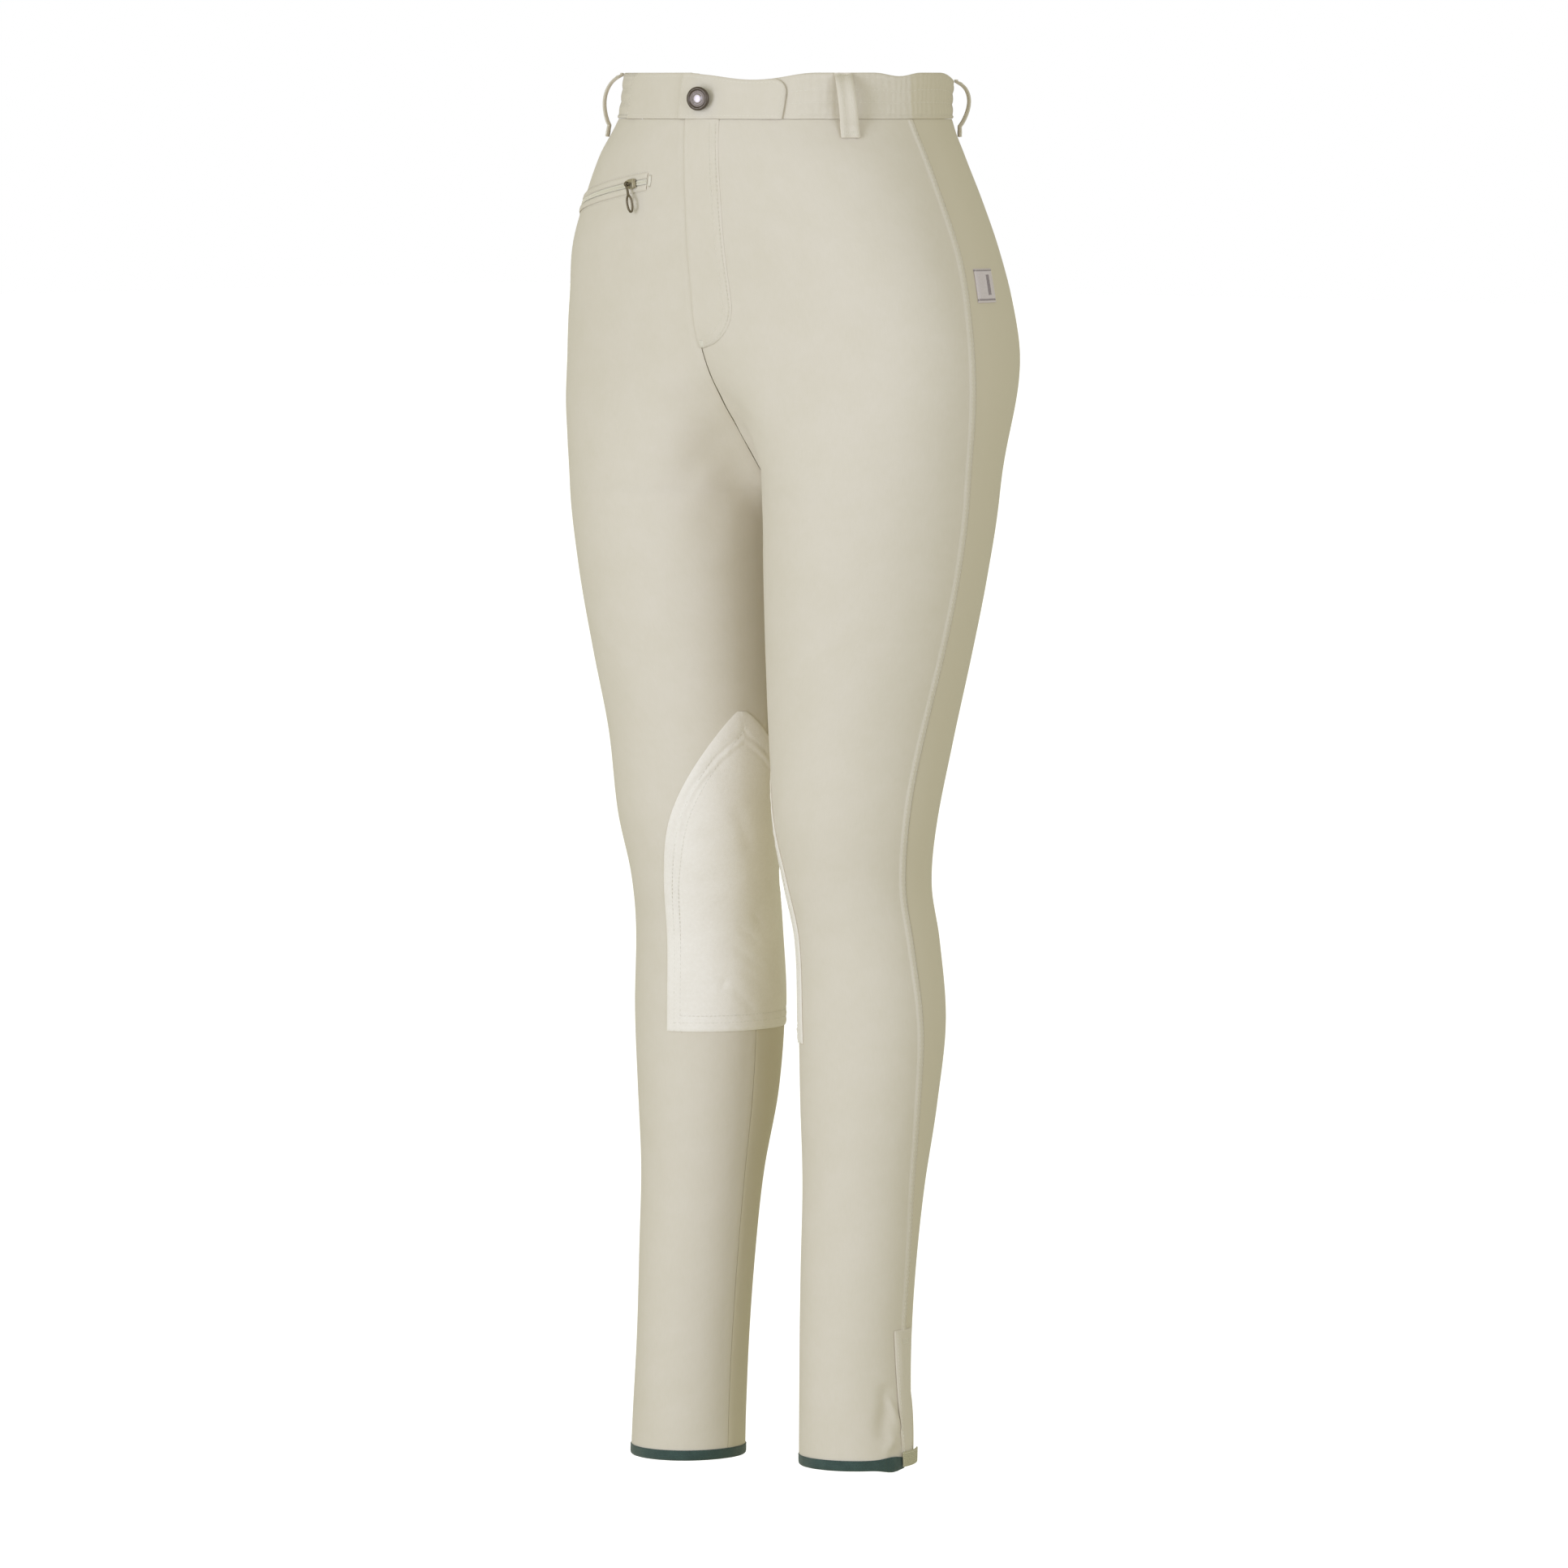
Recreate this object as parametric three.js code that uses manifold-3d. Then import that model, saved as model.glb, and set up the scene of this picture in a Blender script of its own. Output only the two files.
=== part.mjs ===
import * as THREE from 'three';
import * as BufferGeometryUtils from 'three/addons/utils/BufferGeometryUtils.js';
import Module from 'manifold-3d';

// Riding breeches for a woman, as worn, with nobody in them. Millimetres, +Z up, the fronts face -Y,
// the wearer's left is +X, and the origin is the middle of the waist's top edge.

// Cloth, seams and lifts.
const CLOTH = 1.5;
const BAND_CLOTH = 2.2;
const TRIM_CLOTH = 1.1;
const SEAM_GAP = 0.3;
const LIFT = 0.3;

// The garment's heights, down from the waist's top edge.
const BAND_HEIGHT = 33;
const FORK_START = 185;
const FORK_END = 332;
const FORK_LEAD = { turn: 142, width: 38, rise: 31 };
const HEM = 1018;
const BINDING_HEIGHT = 6.5;

// The body above the fork: half width, depth of the fronts and of the backs, and how square each
// is in plan, where 2 is an ellipse.
const BODY = [
  { z: 0, side: 134, front: 103, back: 95, squareFront: 2.0, squareBack: 2.0 },
  { z: -33, side: 135.5, front: 108, back: 90, squareFront: 2.1, squareBack: 2.0 },
  { z: -60, side: 148, front: 109, back: 93.5, squareFront: 2.45, squareBack: 2.0 },
  { z: -90, side: 161, front: 108, back: 104, squareFront: 2.65, squareBack: 2.0 },
  { z: -125, side: 173.5, front: 106, back: 116.5, squareFront: 2.85, squareBack: 2.0 },
  { z: -165, side: 183, front: 101, back: 128.5, squareFront: 2.8, squareBack: 2.0 },
  { z: -206, side: 189, front: 98, back: 133.5, squareFront: 2.7, squareBack: 2.0 },
  { z: -255, side: 189.5, front: 97, back: 126, squareFront: 2.95, squareBack: 2.0 },
  { z: -330, side: 180, front: 95, back: 104, squareFront: 2.85, squareBack: 2.0 },
];

// One leg, and above the fork the line that its half of the body is turned about: the centre, then
// the reach outwards, inwards, to the front and to the back, and how much fuller it is inside behind.
const LEG = [
  { z: 0, x: 60, y: 0, out: 90, in: 88, front: 94, back: 86, calf: 0 },
  { z: -100, x: 78, y: -1, out: 90, in: 88, front: 94, back: 86, calf: 0 },
  { z: -200, x: 92, y: -3, out: 90, in: 88, front: 94, back: 86, calf: 0 },
  { z: -300, x: 95.5, y: -5.7, out: 86.5, in: 84, front: 90, back: 82, calf: 0 },
  { z: -360, x: 91.7, y: -7.5, out: 82, in: 79, front: 84.7, back: 77, calf: 0 },
  { z: -420, x: 86, y: -8.5, out: 75, in: 73, front: 77.5, back: 71, calf: 0 },
  { z: -480, x: 80, y: -10, out: 67, in: 66, front: 69.3, back: 64, calf: 0 },
  { z: -540, x: 77.7, y: -13.5, out: 59.5, in: 57.7, front: 61.4, back: 56.3, calf: 0 },
  { z: -585, x: 76, y: -10.5, out: 53.8, in: 50.5, front: 54.8, back: 53.7, calf: 1.5 },
  { z: -625, x: 77.4, y: -6, out: 54.5, in: 46.5, front: 51.2, back: 56.2, calf: 3 },
  { z: -685, x: 79.4, y: -3.2, out: 55.8, in: 47.8, front: 52.2, back: 57.8, calf: 4 },
  { z: -745, x: 80.4, y: -5.1, out: 50.8, in: 47, front: 49.4, back: 51.4, calf: 5 },
  { z: -805, x: 80.5, y: -9, out: 45, in: 43.1, front: 45.3, back: 43.5, calf: 2.5 },
  { z: -865, x: 80.7, y: -14, out: 42.5, in: 40.7, front: 43.3, back: 40.2, calf: 2.4 },
  { z: -925, x: 81.3, y: -17.8, out: 41.3, in: 39.5, front: 42.3, back: 38.9, calf: 2 },
  { z: -985, x: 83, y: -20, out: 41.8, in: 39.6, front: 42.2, back: 39.2, calf: 2.2 },
  { z: -1025, x: 84, y: -20.5, out: 42.6, in: 39.8, front: 42.4, back: 39.4, calf: 2.4 },
];

// Where the side seam runs, in degrees round from straight out at the side towards the front.
const SIDE_SEAM = [
  { z: -33, turn: 13 },
  { z: -90, turn: 8.5 },
  { z: -140, turn: 4.5 },
  { z: -203, turn: 4 },
  { z: -272, turn: 2 },
  { z: -349, turn: 1 },
  { z: -401, turn: 2.5 },
  { z: -450, turn: 5 },
  { z: -520, turn: 8.5 },
  { z: -604, turn: 6.5 },
  { z: -680, turn: 2 },
  { z: -741, turn: -1 },
  { z: -800, turn: -6 },
  { z: -860, turn: -11 },
  { z: -1025, turn: -12 },
];

// Where the leg is fuller inside behind, in degrees round, and how far that spreads to each side.
const CALF = { turn: 223, width: 55 };

// A panel's rows, stretch by stretch from the band down: closer together where the fork turns.
const ROWS = [
  { to: -210, rows: 6 },
  { to: -276, rows: 5 },
  { to: -312, rows: 7 },
  { to: -372, rows: 2 },
  { to: -540, rows: 4 },
  { to: -700, rows: 7 },
  { to: -1011.2, rows: 7 },
];
const PANEL_COLUMNS = 12;
const FELL_WIDTH = 4.6;
const FELL_STEP = 0.9;
const FELL_RISE = 0.7;

// The waistband.
const BAND_PROUD = 0.5;
const BAND_LAP = 8;
const BAND_UNDERLAP = 6;
const LAP_RISE = 2.7;
const LAP_EASE = 16;
const FRONT_BAND_TURN = 81;
const BAND_DIPS = [
  { turn: 95, width: 30, depth: 5 },
  { turn: 20, width: 15, depth: 2.5 },
];

// The fly's lap on the left front, with its curved foot.
const FLY_OVER = 2;
const FLY_WIDTH_TOP = 29;
const FLY_WIDTH_LOW = 36;
const FLY_CURVE_TOP = 165;
const FLY_FOOT = 197;
const FLY_CLOTH = 1.0;

// Belt loops: two on the fronts, two on the backs and one in the middle of the back.
const LOOP_WIDTH = 13.5;
const LOOP_LENGTH = 46;
const LOOP_CLOTH = 1.3;
const LOOP_STAND = 7.2;
const LOOP_TACK = 0.12;
const LOOPS = [
  { name: 'belt_loop_front_left', side: 1, turn: 52 },
  { name: 'belt_loop_front_right', side: -1, turn: 52 },
  { name: 'belt_loop_back_left', side: 1, turn: -46 },
  { name: 'belt_loop_back_right', side: -1, turn: -46 },
];

// The zip pocket on the right front, from its inner end to its outer end.
const ZIP = { innerTurn: 107.5, outerTurn: 40, innerZ: -78, outerZ: -97 };
const WELT_WIDTH = 4.4;
const WELT_CLOTH = 1.2;
const ZIP_TAPE_WIDTH = 3.6;
const ZIP_TAPE_CLOTH = 0.9;
const SLIDER_ALONG = 0.11;
const SLIDER_LENGTH = 9;
const SLIDER_WIDTH = 7;
const SLIDER_THICK = 2.6;
const BAIL_LENGTH = 7;
const BAIL_RADIUS = 0.6;
const BAIL_HEIGHT = 2.4;
const EYE_HOLE = 1.1;
const EYE_WALL = 0.8;
const EYE_WIDTH = 2.4;
const PULL_LENGTH = 21;
const RING_LENGTH = 13.5;
const RING_WIDTH = 6;
const RING_BAR = 1.3;
const RING_THICK = 1.1;
const PULL_SLANT = 6;

// The button on the waistband's lap.
const BUTTON_X = 13;
const BUTTON_ACROSS = 17;
const BUTTON_HEIGHT = 18;

// The woven label behind the left side seam.
const LABEL = { turn: -7.8, z: -151.5, width: 29, height: 24 };

// The suede patches on the inside of each knee.
const PATCH_TOP = 461;
const PATCH_FOOT = 699;
const PATCH_PEAK_TURN = 159;
const PATCH_FRONT = { turn: 98, shoulder: 155 };
const PATCH_BACK = { turn: 252, shoulder: 200 };
const PATCH_TURNED = { left: 14, right: 0 };
const PATCH_LIFT = 0.7;
const PATCH_ROWS = 13;
const PATCH_COLUMNS = 16;

// The opening at each ankle, outside, with its flap and its grip tab.
const VENT_TOP = 905;
const FLAP_FRONT = 7;
const FLAP_BACK = 9;
const HEM_OPEN_FRONT = -8;
const HEM_OPEN_BACK = -41;
const TAB_TOP = 1006;
const TAB_FOOT = 1019;

const CLOTH_COLOUR = 0xdad4c4;
const SUEDE_COLOUR = 0xe8e4db;
const BINDING_COLOUR = 0x385550;
const METAL_COLOUR = 0x6a675f;
const LABEL_COLOUR = 0xb9b0b6;
const GRIP_COLOUR = 0xd6d0a6;

const RADIAN = Math.PI / 180;
const wasm = await Module();
wasm.setup();

// Smooth curve through one column of a table whose rows run downwards.
function read(table, column, z) {
  let row = 0;
  while (row < table.length - 2 && z < table[row + 1].z) row += 1;
  const slope = (k) => {
    const above = table[Math.max(k - 1, 0)];
    const below = table[Math.min(k + 1, table.length - 1)];
    return (below[column] - above[column]) / (below.z - above.z);
  };
  const start = table[row];
  const end = table[row + 1];
  const span = end.z - start.z;
  const t = THREE.MathUtils.clamp((z - start.z) / span, 0, 1);
  const bend = t * t * (3 - 2 * t);
  const lead = t * (1 - t) * (1 - t) * span * slope(row);
  const tail = t * t * (t - 1) * span * slope(row + 1);
  return start[column] * (1 - bend) + end[column] * bend + lead + tail;
}

// How far the body's outline lies from (x, y) along the direction (dx, dy).
function bodyReach(x, y, dx, dy, z) {
  const side = read(BODY, 'side', z);
  let near = 0;
  let far = 2 * side;
  for (let step = 0; step < 40; step += 1) {
    const reach = (near + far) / 2;
    const px = x + dx * reach;
    const py = y + dy * reach;
    const half = py < 0 ? 'front' : 'back';
    const power = read(BODY, py < 0 ? 'squareFront' : 'squareBack', z);
    const inside = (Math.abs(px) / side) ** power + (Math.abs(py) / read(BODY, half, z)) ** power < 1;
    if (inside) near = reach;
    else far = reach;
  }
  return near;
}

function legReach(turn, dx, dy, z) {
  const across = read(LEG, dx > 0 ? 'out' : 'in', z);
  const deep = read(LEG, dy < 0 ? 'front' : 'back', z);
  const away = Math.abs(((((turn - CALF.turn) % 360) + 540) % 360) - 180) / CALF.width;
  const fuller = away < 1 ? read(LEG, 'calf', z) * Math.cos((away * Math.PI) / 2) ** 2 : 0;
  return 1 / Math.hypot(dx / across, dy / deep) + fuller;
}

// The fork begins higher up beside the front's middle seam, where the cloth folds in to the crotch.
function forkLead(turn) {
  const away = Math.abs(turn - FORK_LEAD.turn) / FORK_LEAD.width;
  return away < 1 ? FORK_LEAD.rise * Math.cos((away * Math.PI) / 2) ** 2 : 0;
}

// The left half's outer face: turn 0 is straight out, 90 the front, 180 the inside leg, -90 the back.
// Above the fork it is the body, below it the leg, and between them it passes from one to the other.
function skin(turn, z) {
  const dx = Math.cos(turn * RADIAN);
  const dy = -Math.sin(turn * RADIAN);
  const x = read(LEG, 'x', z);
  const y = read(LEG, 'y', z);
  const fork = THREE.MathUtils.smootherstep(-z + forkLead(turn), FORK_START, FORK_END);
  let reach = 0;
  if (fork < 1) reach += (1 - fork) * bodyReach(x, y, dx, dy, z);
  if (fork > 0) reach += fork * legReach(turn, dx, dy, z);
  return new THREE.Vector3(x + dx * reach, y + dy * reach, z);
}

function skinNormal(turn, z) {
  const round = skin(turn + 0.6, z).sub(skin(turn - 0.6, z));
  const down = skin(turn, z - 1.5).sub(skin(turn, z + 1.5));
  return round.cross(down).normalize();
}

// A point of the cloth on the left (side 1) or right (side -1), moved out from the skin by lift.
function onCloth(side, turn, z, lift = 0) {
  const point = skin(turn, z).addScaledVector(skinNormal(turn, z), lift);
  point.x = Math.max(point.x, SEAM_GAP / 2) * side;
  return point;
}

// The turn, from the front or the back, at which the cloth comes to x from the middle line.
function turnAt(x, z, back = false) {
  let near = 60;
  let far = 180;
  for (let step = 0; step < 36; step += 1) {
    const turn = (near + far) / 2;
    if (skin(back ? -turn : turn, z).x > x) near = turn;
    else far = turn;
  }
  return near;
}

// A point on the fronts by its distance from the middle line, plus to the wearer's left.
function onFront(x, z, lift) {
  const turn = turnAt(Math.abs(x), z);
  const point = skin(turn, z).addScaledVector(skinNormal(turn, z), lift);
  if (x < 0) point.x *= -1;
  return point;
}

// A closed wall from two grids of points that face each other: rows of equal length.
function wallGeometry(outer, inner, closedRound = false) {
  const rows = outer.length;
  const columns = outer[0].length;
  const points = [...outer.flat(), ...inner.flat()];
  const faces = [];
  const at = (face, row, column) => face * rows * columns + row * columns + (column % columns);
  const quad = (a, b, c, d) => faces.push(a, b, c, a, c, d);
  const spans = closedRound ? columns : columns - 1;
  for (let row = 0; row < rows - 1; row += 1) {
    for (let column = 0; column < spans; column += 1) {
      quad(at(0, row, column), at(0, row + 1, column), at(0, row + 1, column + 1), at(0, row, column + 1));
      quad(at(1, row, column), at(1, row, column + 1), at(1, row + 1, column + 1), at(1, row + 1, column));
    }
  }
  for (let column = 0; column < spans; column += 1) {
    quad(at(0, 0, column), at(0, 0, column + 1), at(1, 0, column + 1), at(1, 0, column));
    const last = rows - 1;
    quad(at(0, last, column), at(1, last, column), at(1, last, column + 1), at(0, last, column + 1));
  }
  if (!closedRound) {
    for (let row = 0; row < rows - 1; row += 1) {
      const last = columns - 1;
      quad(at(0, row, 0), at(1, row, 0), at(1, row + 1, 0), at(0, row + 1, 0));
      quad(at(0, row, last), at(0, row + 1, last), at(1, row + 1, last), at(1, row, last));
    }
  }
  const geometry = new THREE.BufferGeometry();
  geometry.setAttribute('position', new THREE.Float32BufferAttribute(points.flatMap((p) => p.toArray()), 3));
  geometry.setIndex(faces);
  return facingOut(geometry);
}

// Turns every face over where the wall came out inside out, as on the mirrored side.
function facingOut(geometry) {
  const place = geometry.attributes.position;
  const index = geometry.index.array;
  const corner = (k) => new THREE.Vector3().fromBufferAttribute(place, index[k]);
  let volume = 0;
  for (let k = 0; k < index.length; k += 3) {
    volume += corner(k).dot(corner(k + 1).cross(corner(k + 2)));
  }
  if (volume < 0) {
    for (let k = 0; k < index.length; k += 3) {
      const kept = index[k];
      index[k] = index[k + 1];
      index[k + 1] = kept;
    }
  }
  geometry.computeVertexNormals();
  return geometry;
}

// A strip of cloth: place(u, v, lift) gives its points, u along the columns and v down the rows.
function stripGeometry(place, columns, rows, lift, cloth) {
  const grid = (height) => {
    const points = [];
    for (let row = 0; row <= rows; row += 1) {
      const line = [];
      for (let column = 0; column <= columns; column += 1) {
        line.push(place(column / columns, row / rows, height));
      }
      points.push(line);
    }
    return points;
  };
  return wallGeometry(grid(lift + cloth), grid(lift));
}

function material(name, color, roughness, metalness = 0) {
  const finish = new THREE.MeshStandardMaterial({ color, roughness, metalness });
  finish.name = name;
  return finish;
}

function mesh(name, geometry, finish) {
  const piece = new THREE.Mesh(geometry, finish);
  piece.name = name;
  return piece;
}

const clothFinish = () => material('breeches_cloth', CLOTH_COLOUR, 0.85);

function rowHeights() {
  const heights = [-(BAND_HEIGHT + SEAM_GAP)];
  for (const stretch of ROWS) {
    const start = heights[heights.length - 1];
    for (let row = 1; row <= stretch.rows; row += 1) {
      heights.push(start + ((stretch.to - start) * row) / stretch.rows);
    }
  }
  return heights;
}

// One of the four panels. The fronts carry the felled ridge of the side seam along their outer edge.
function panelGeometry(side, back) {
  const sign = back ? -1 : 1;
  const heights = rowHeights();
  const outer = [];
  const inner = [];
  heights.forEach((z, row) => {
    const reach = read(LEG, 'out', z);
    const degrees = (length) => length / reach / RADIAN;
    const start = sign * read(SIDE_SEAM, 'turn', z) + degrees(SEAM_GAP / 2);
    const end = Math.min(turnAt(SEAM_GAP / 2, z, back), 180 - degrees(SEAM_GAP / 2));
    const stops = back ? [] : [0, degrees(FELL_WIDTH), degrees(FELL_WIDTH + FELL_STEP)];
    const first = back ? 0 : degrees(FELL_WIDTH + 2 * FELL_STEP);
    for (let column = 0; column <= PANEL_COLUMNS; column += 1) {
      stops.push(first + ((end - start - first) * column) / PANEL_COLUMNS);
    }
    const turns = stops.map((stop) => sign * (start + stop));
    const level = row === 0 || row === heights.length - 1;
    outer.push(turns.map((turn, column) => {
      const point = onCloth(side, turn, z, !back && column < 2 ? FELL_RISE : 0);
      if (level) point.z = z;
      return point;
    }));
    inner.push(turns.map((turn) => {
      const point = onCloth(side, turn, z, -CLOTH);
      if (level) point.z = z;
      return point;
    }));
  });
  return wallGeometry(outer, inner);
}

function panels() {
  const group = new THREE.Group();
  for (const [name, side] of [['left', 1], ['right', -1]]) {
    group.add(mesh(`front_${name}`, panelGeometry(side, false), clothFinish()));
    group.add(mesh(`back_${name}`, panelGeometry(side, true), clothFinish()));
  }
  return group;
}

// The band's top edge dips a little between the loops of the left side.
function bandTop(side, turn) {
  if (side < 0) return 0;
  let top = 0;
  for (const dip of BAND_DIPS) {
    const away = Math.abs(turn - dip.turn) / dip.width;
    if (away < 1) top -= (dip.depth * (1 + Math.cos(away * Math.PI))) / 2;
  }
  return top;
}

// A stretch of the waistband between two turns. Its walls stay upright, so the seam below is even.
function bandPoint(side, turn, v, lift) {
  const top = bandTop(side, turn);
  const z = top - (BAND_HEIGHT + top) * v;
  const point = skin(turn, z);
  const normal = skinNormal(turn, z).setZ(0).normalize();
  point.addScaledVector(normal, lift);
  point.x *= side;
  return point;
}

// The front band by its distance from the middle line; near it the left band rises over the right.
function frontBandPoint(x, v, lift) {
  const side = x < 0 ? -1 : 1;
  const z = -BAND_HEIGHT * v;
  return bandPoint(side, turnAt(Math.abs(x), z), v, lift);
}

function waistband() {
  const group = new THREE.Group();
  const lift = BAND_PROUD - BAND_CLOTH;
  const frontBand = (name, start, rise) => {
    const side = name === 'left' ? 1 : -1;
    const seamX = skin(FRONT_BAND_TURN, -BAND_HEIGHT / 2).x - SEAM_GAP;
    const place = (u, v, height) => {
      const x = start + (seamX - start) * u;
      const point = frontBandPoint(x * side, v, height + rise(x));
      return point;
    };
    group.add(mesh(`waistband_front_${name}`, stripGeometry(place, 14, 2, lift, BAND_CLOTH), clothFinish()));
  };
  frontBand('left', -BAND_LAP, (x) => LAP_RISE * (1 - THREE.MathUtils.smoothstep(x, BAND_UNDERLAP + 1, BAND_UNDERLAP + LAP_EASE)));
  frontBand('right', -BAND_UNDERLAP, () => 0);

  // The elastic band goes on round the sides and the back in one piece.
  const seam = skin(FRONT_BAND_TURN, -BAND_HEIGHT / 2).x;
  const elastic = (u, v, height) => {
    const side = u < 0.5 ? 1 : -1;
    const along = 1 - Math.abs(2 * u - 1);
    const z = -BAND_HEIGHT * v;
    const start = turnAt(seam, z);
    const turn = start + (-turnAt(0, z, true) - start) * along;
    return bandPoint(side, turn, v, height);
  };
  group.add(mesh('waistband_elastic', stripGeometry(elastic, 40, 2, lift, BAND_CLOTH), clothFinish()));
  return group;
}

// The lap of the fly: straight down from the band, then a quarter round to the middle line.
function flyLap() {
  const top = -(BAND_HEIGHT + SEAM_GAP);
  const place = (u, v, height) => {
    const straight = 0.6;
    let z = top + ((-FLY_CURVE_TOP - top) * v) / straight;
    let width = THREE.MathUtils.lerp(FLY_WIDTH_TOP, FLY_WIDTH_LOW, v / straight);
    let over = FLY_OVER;
    if (v > straight) {
      const angle = ((v - straight) / (1 - straight)) * 84 * RADIAN;
      z = -FLY_CURVE_TOP - (FLY_FOOT - FLY_CURVE_TOP) * Math.sin(angle);
      width = FLY_WIDTH_LOW * Math.cos(angle);
      over = FLY_OVER * Math.cos(angle);
    }
    const x = -over + (width + over) * u;
    return onFront(Math.abs(x) < 0.01 ? 0.01 : x, z, height);
  };
  return mesh('fly_lap', stripGeometry(place, 7, 14, LIFT, FLY_CLOTH), clothFinish());
}

// A belt loop is tacked at its top and its foot and stands off the band between them.
function loopGeometry(centre) {
  const place = (u, v, height) => {
    const z = -LOOP_LENGTH * v;
    const base = centre(z, BAND_PROUD + 2 * LIFT + height);
    const ease = THREE.MathUtils.clamp(Math.min(v, 1 - v) - LOOP_TACK, 0, 0.5) / (0.5 - LOOP_TACK);
    const stand = LOOP_STAND * Math.sin((Math.min(ease * 1.7, 1) * Math.PI) / 2);
    return base.point.addScaledVector(base.out, stand).addScaledVector(base.along, (u - 0.5) * LOOP_WIDTH);
  };
  return stripGeometry(place, 1, 14, 0, LOOP_CLOTH);
}

function beltLoops() {
  const group = new THREE.Group();
  const up = new THREE.Vector3(0, 0, 1);
  for (const loop of LOOPS) {
    const centre = (z, lift) => {
      const out = skinNormal(loop.turn, z).setZ(0).normalize();
      const point = skin(loop.turn, z).addScaledVector(out, lift);
      point.x *= loop.side;
      out.x *= loop.side;
      return { point, out, along: up.clone().cross(out) };
    };
    group.add(mesh(loop.name, loopGeometry(centre), clothFinish()));
  }
  const centreBack = (z, lift) => ({
    point: new THREE.Vector3(0, read(BODY, 'back', z) + lift, z),
    out: new THREE.Vector3(0, 1, 0),
    along: new THREE.Vector3(-1, 0, 0),
  });
  group.add(mesh('belt_loop_centre_back', loopGeometry(centreBack), clothFinish()));
  return group;
}

// A place on the zip's line, u from its inner to its outer end, drop millimetres below the line.
function onZip(u, drop, lift) {
  const turn = THREE.MathUtils.lerp(ZIP.innerTurn, ZIP.outerTurn, u);
  const z = THREE.MathUtils.lerp(ZIP.innerZ, ZIP.outerZ, u) - drop;
  return onCloth(-1, turn, z, lift);
}

function zipPocket() {
  const group = new THREE.Group();
  const half = ZIP_TAPE_WIDTH / 2;
  const strip = (name, top, height, cloth, finish) => {
    const place = (u, v, lift) => onZip(u, top + height * v, lift);
    group.add(mesh(name, stripGeometry(place, 12, 2, LIFT, cloth), finish));
  };
  strip('pocket_welt_upper', -half - SEAM_GAP - WELT_WIDTH, WELT_WIDTH, WELT_CLOTH, clothFinish());
  strip('pocket_welt_lower', half + SEAM_GAP, WELT_WIDTH, WELT_CLOTH, clothFinish());
  strip('zip_tape', -half, ZIP_TAPE_WIDTH, ZIP_TAPE_CLOTH, material('zip_tape', CLOTH_COLOUR, 0.8));

  // The slider and its pull share one frame: x along the zip, y down the cloth, z out of it.
  const seat = new THREE.Group();
  const seatLift = LIFT + WELT_CLOTH + LIFT;
  const origin = onZip(SLIDER_ALONG, 0, seatLift);
  const along = onZip(SLIDER_ALONG + 0.03, 0, seatLift).sub(onZip(SLIDER_ALONG - 0.03, 0, seatLift)).normalize();
  const out = onZip(SLIDER_ALONG, 0, 10).sub(onZip(SLIDER_ALONG, 0, 0)).normalize();
  const down = out.clone().cross(along).normalize();
  out.copy(along.clone().cross(down));
  seat.matrixAutoUpdate = false;
  seat.matrix.makeBasis(along, down, out).setPosition(origin);
  seat.matrixWorldNeedsUpdate = true;
  seat.add(slider());
  seat.add(zipPull());
  group.add(seat);
  return group;
}

function solidOf(geometry) {
  const bare = geometry.clone();
  bare.deleteAttribute('normal');
  if (bare.attributes.uv) bare.deleteAttribute('uv');
  const merged = BufferGeometryUtils.mergeVertices(bare, 1e-4);
  const made = new wasm.Mesh({
    numProp: 3,
    vertProperties: merged.attributes.position.array,
    triVerts: new Uint32Array(merged.index.array),
  });
  return new wasm.Manifold(made);
}

function joined(...geometries) {
  const [first, ...others] = geometries.map(solidOf);
  const whole = others.reduce((sum, solid) => sum.add(solid), first);
  const result = whole.getMesh();
  const geometry = new THREE.BufferGeometry();
  geometry.setAttribute('position', new THREE.Float32BufferAttribute(result.vertProperties, 3));
  geometry.setIndex(Array.from(result.triVerts));
  geometry.computeVertexNormals();
  return geometry;
}

function roundedPlate(width, height, thickness, radius) {
  const x = width / 2;
  const y = height / 2;
  const outline = new THREE.Shape();
  outline.moveTo(-x + radius, -y);
  outline.lineTo(x - radius, -y);
  outline.absarc(x - radius, -y + radius, radius, -Math.PI / 2, 0);
  outline.lineTo(x, y - radius);
  outline.absarc(x - radius, y - radius, radius, 0, Math.PI / 2);
  outline.lineTo(-x + radius, y);
  outline.absarc(-x + radius, y - radius, radius, Math.PI / 2, Math.PI);
  outline.lineTo(-x, -y + radius);
  outline.absarc(-x + radius, -y + radius, radius, Math.PI, 1.5 * Math.PI);
  return new THREE.ExtrudeGeometry(outline, { depth: thickness, bevelEnabled: false, curveSegments: 4 });
}

// The slider's body, with the bail that the pull hangs on standing over it along the zip.
function slider() {
  const body = roundedPlate(SLIDER_LENGTH, SLIDER_WIDTH, SLIDER_THICK, 2);
  const top = SLIDER_THICK + BAIL_HEIGHT;
  const bar = new THREE.CylinderGeometry(BAIL_RADIUS, BAIL_RADIUS, BAIL_LENGTH, 10);
  bar.rotateZ(Math.PI / 2).translate(0, 0, top);
  const legs = [-1, 1].map((end) => {
    const leg = new THREE.BoxGeometry(2 * BAIL_RADIUS, 2 * BAIL_RADIUS, BAIL_HEIGHT + 2 * BAIL_RADIUS);
    return leg.translate(end * (BAIL_LENGTH / 2 - BAIL_RADIUS), 0, top - BAIL_HEIGHT / 2);
  });
  return mesh('zip_slider', joined(body, bar, ...legs), material('dark_metal', METAL_COLOUR, 0.35, 1));
}

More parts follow.
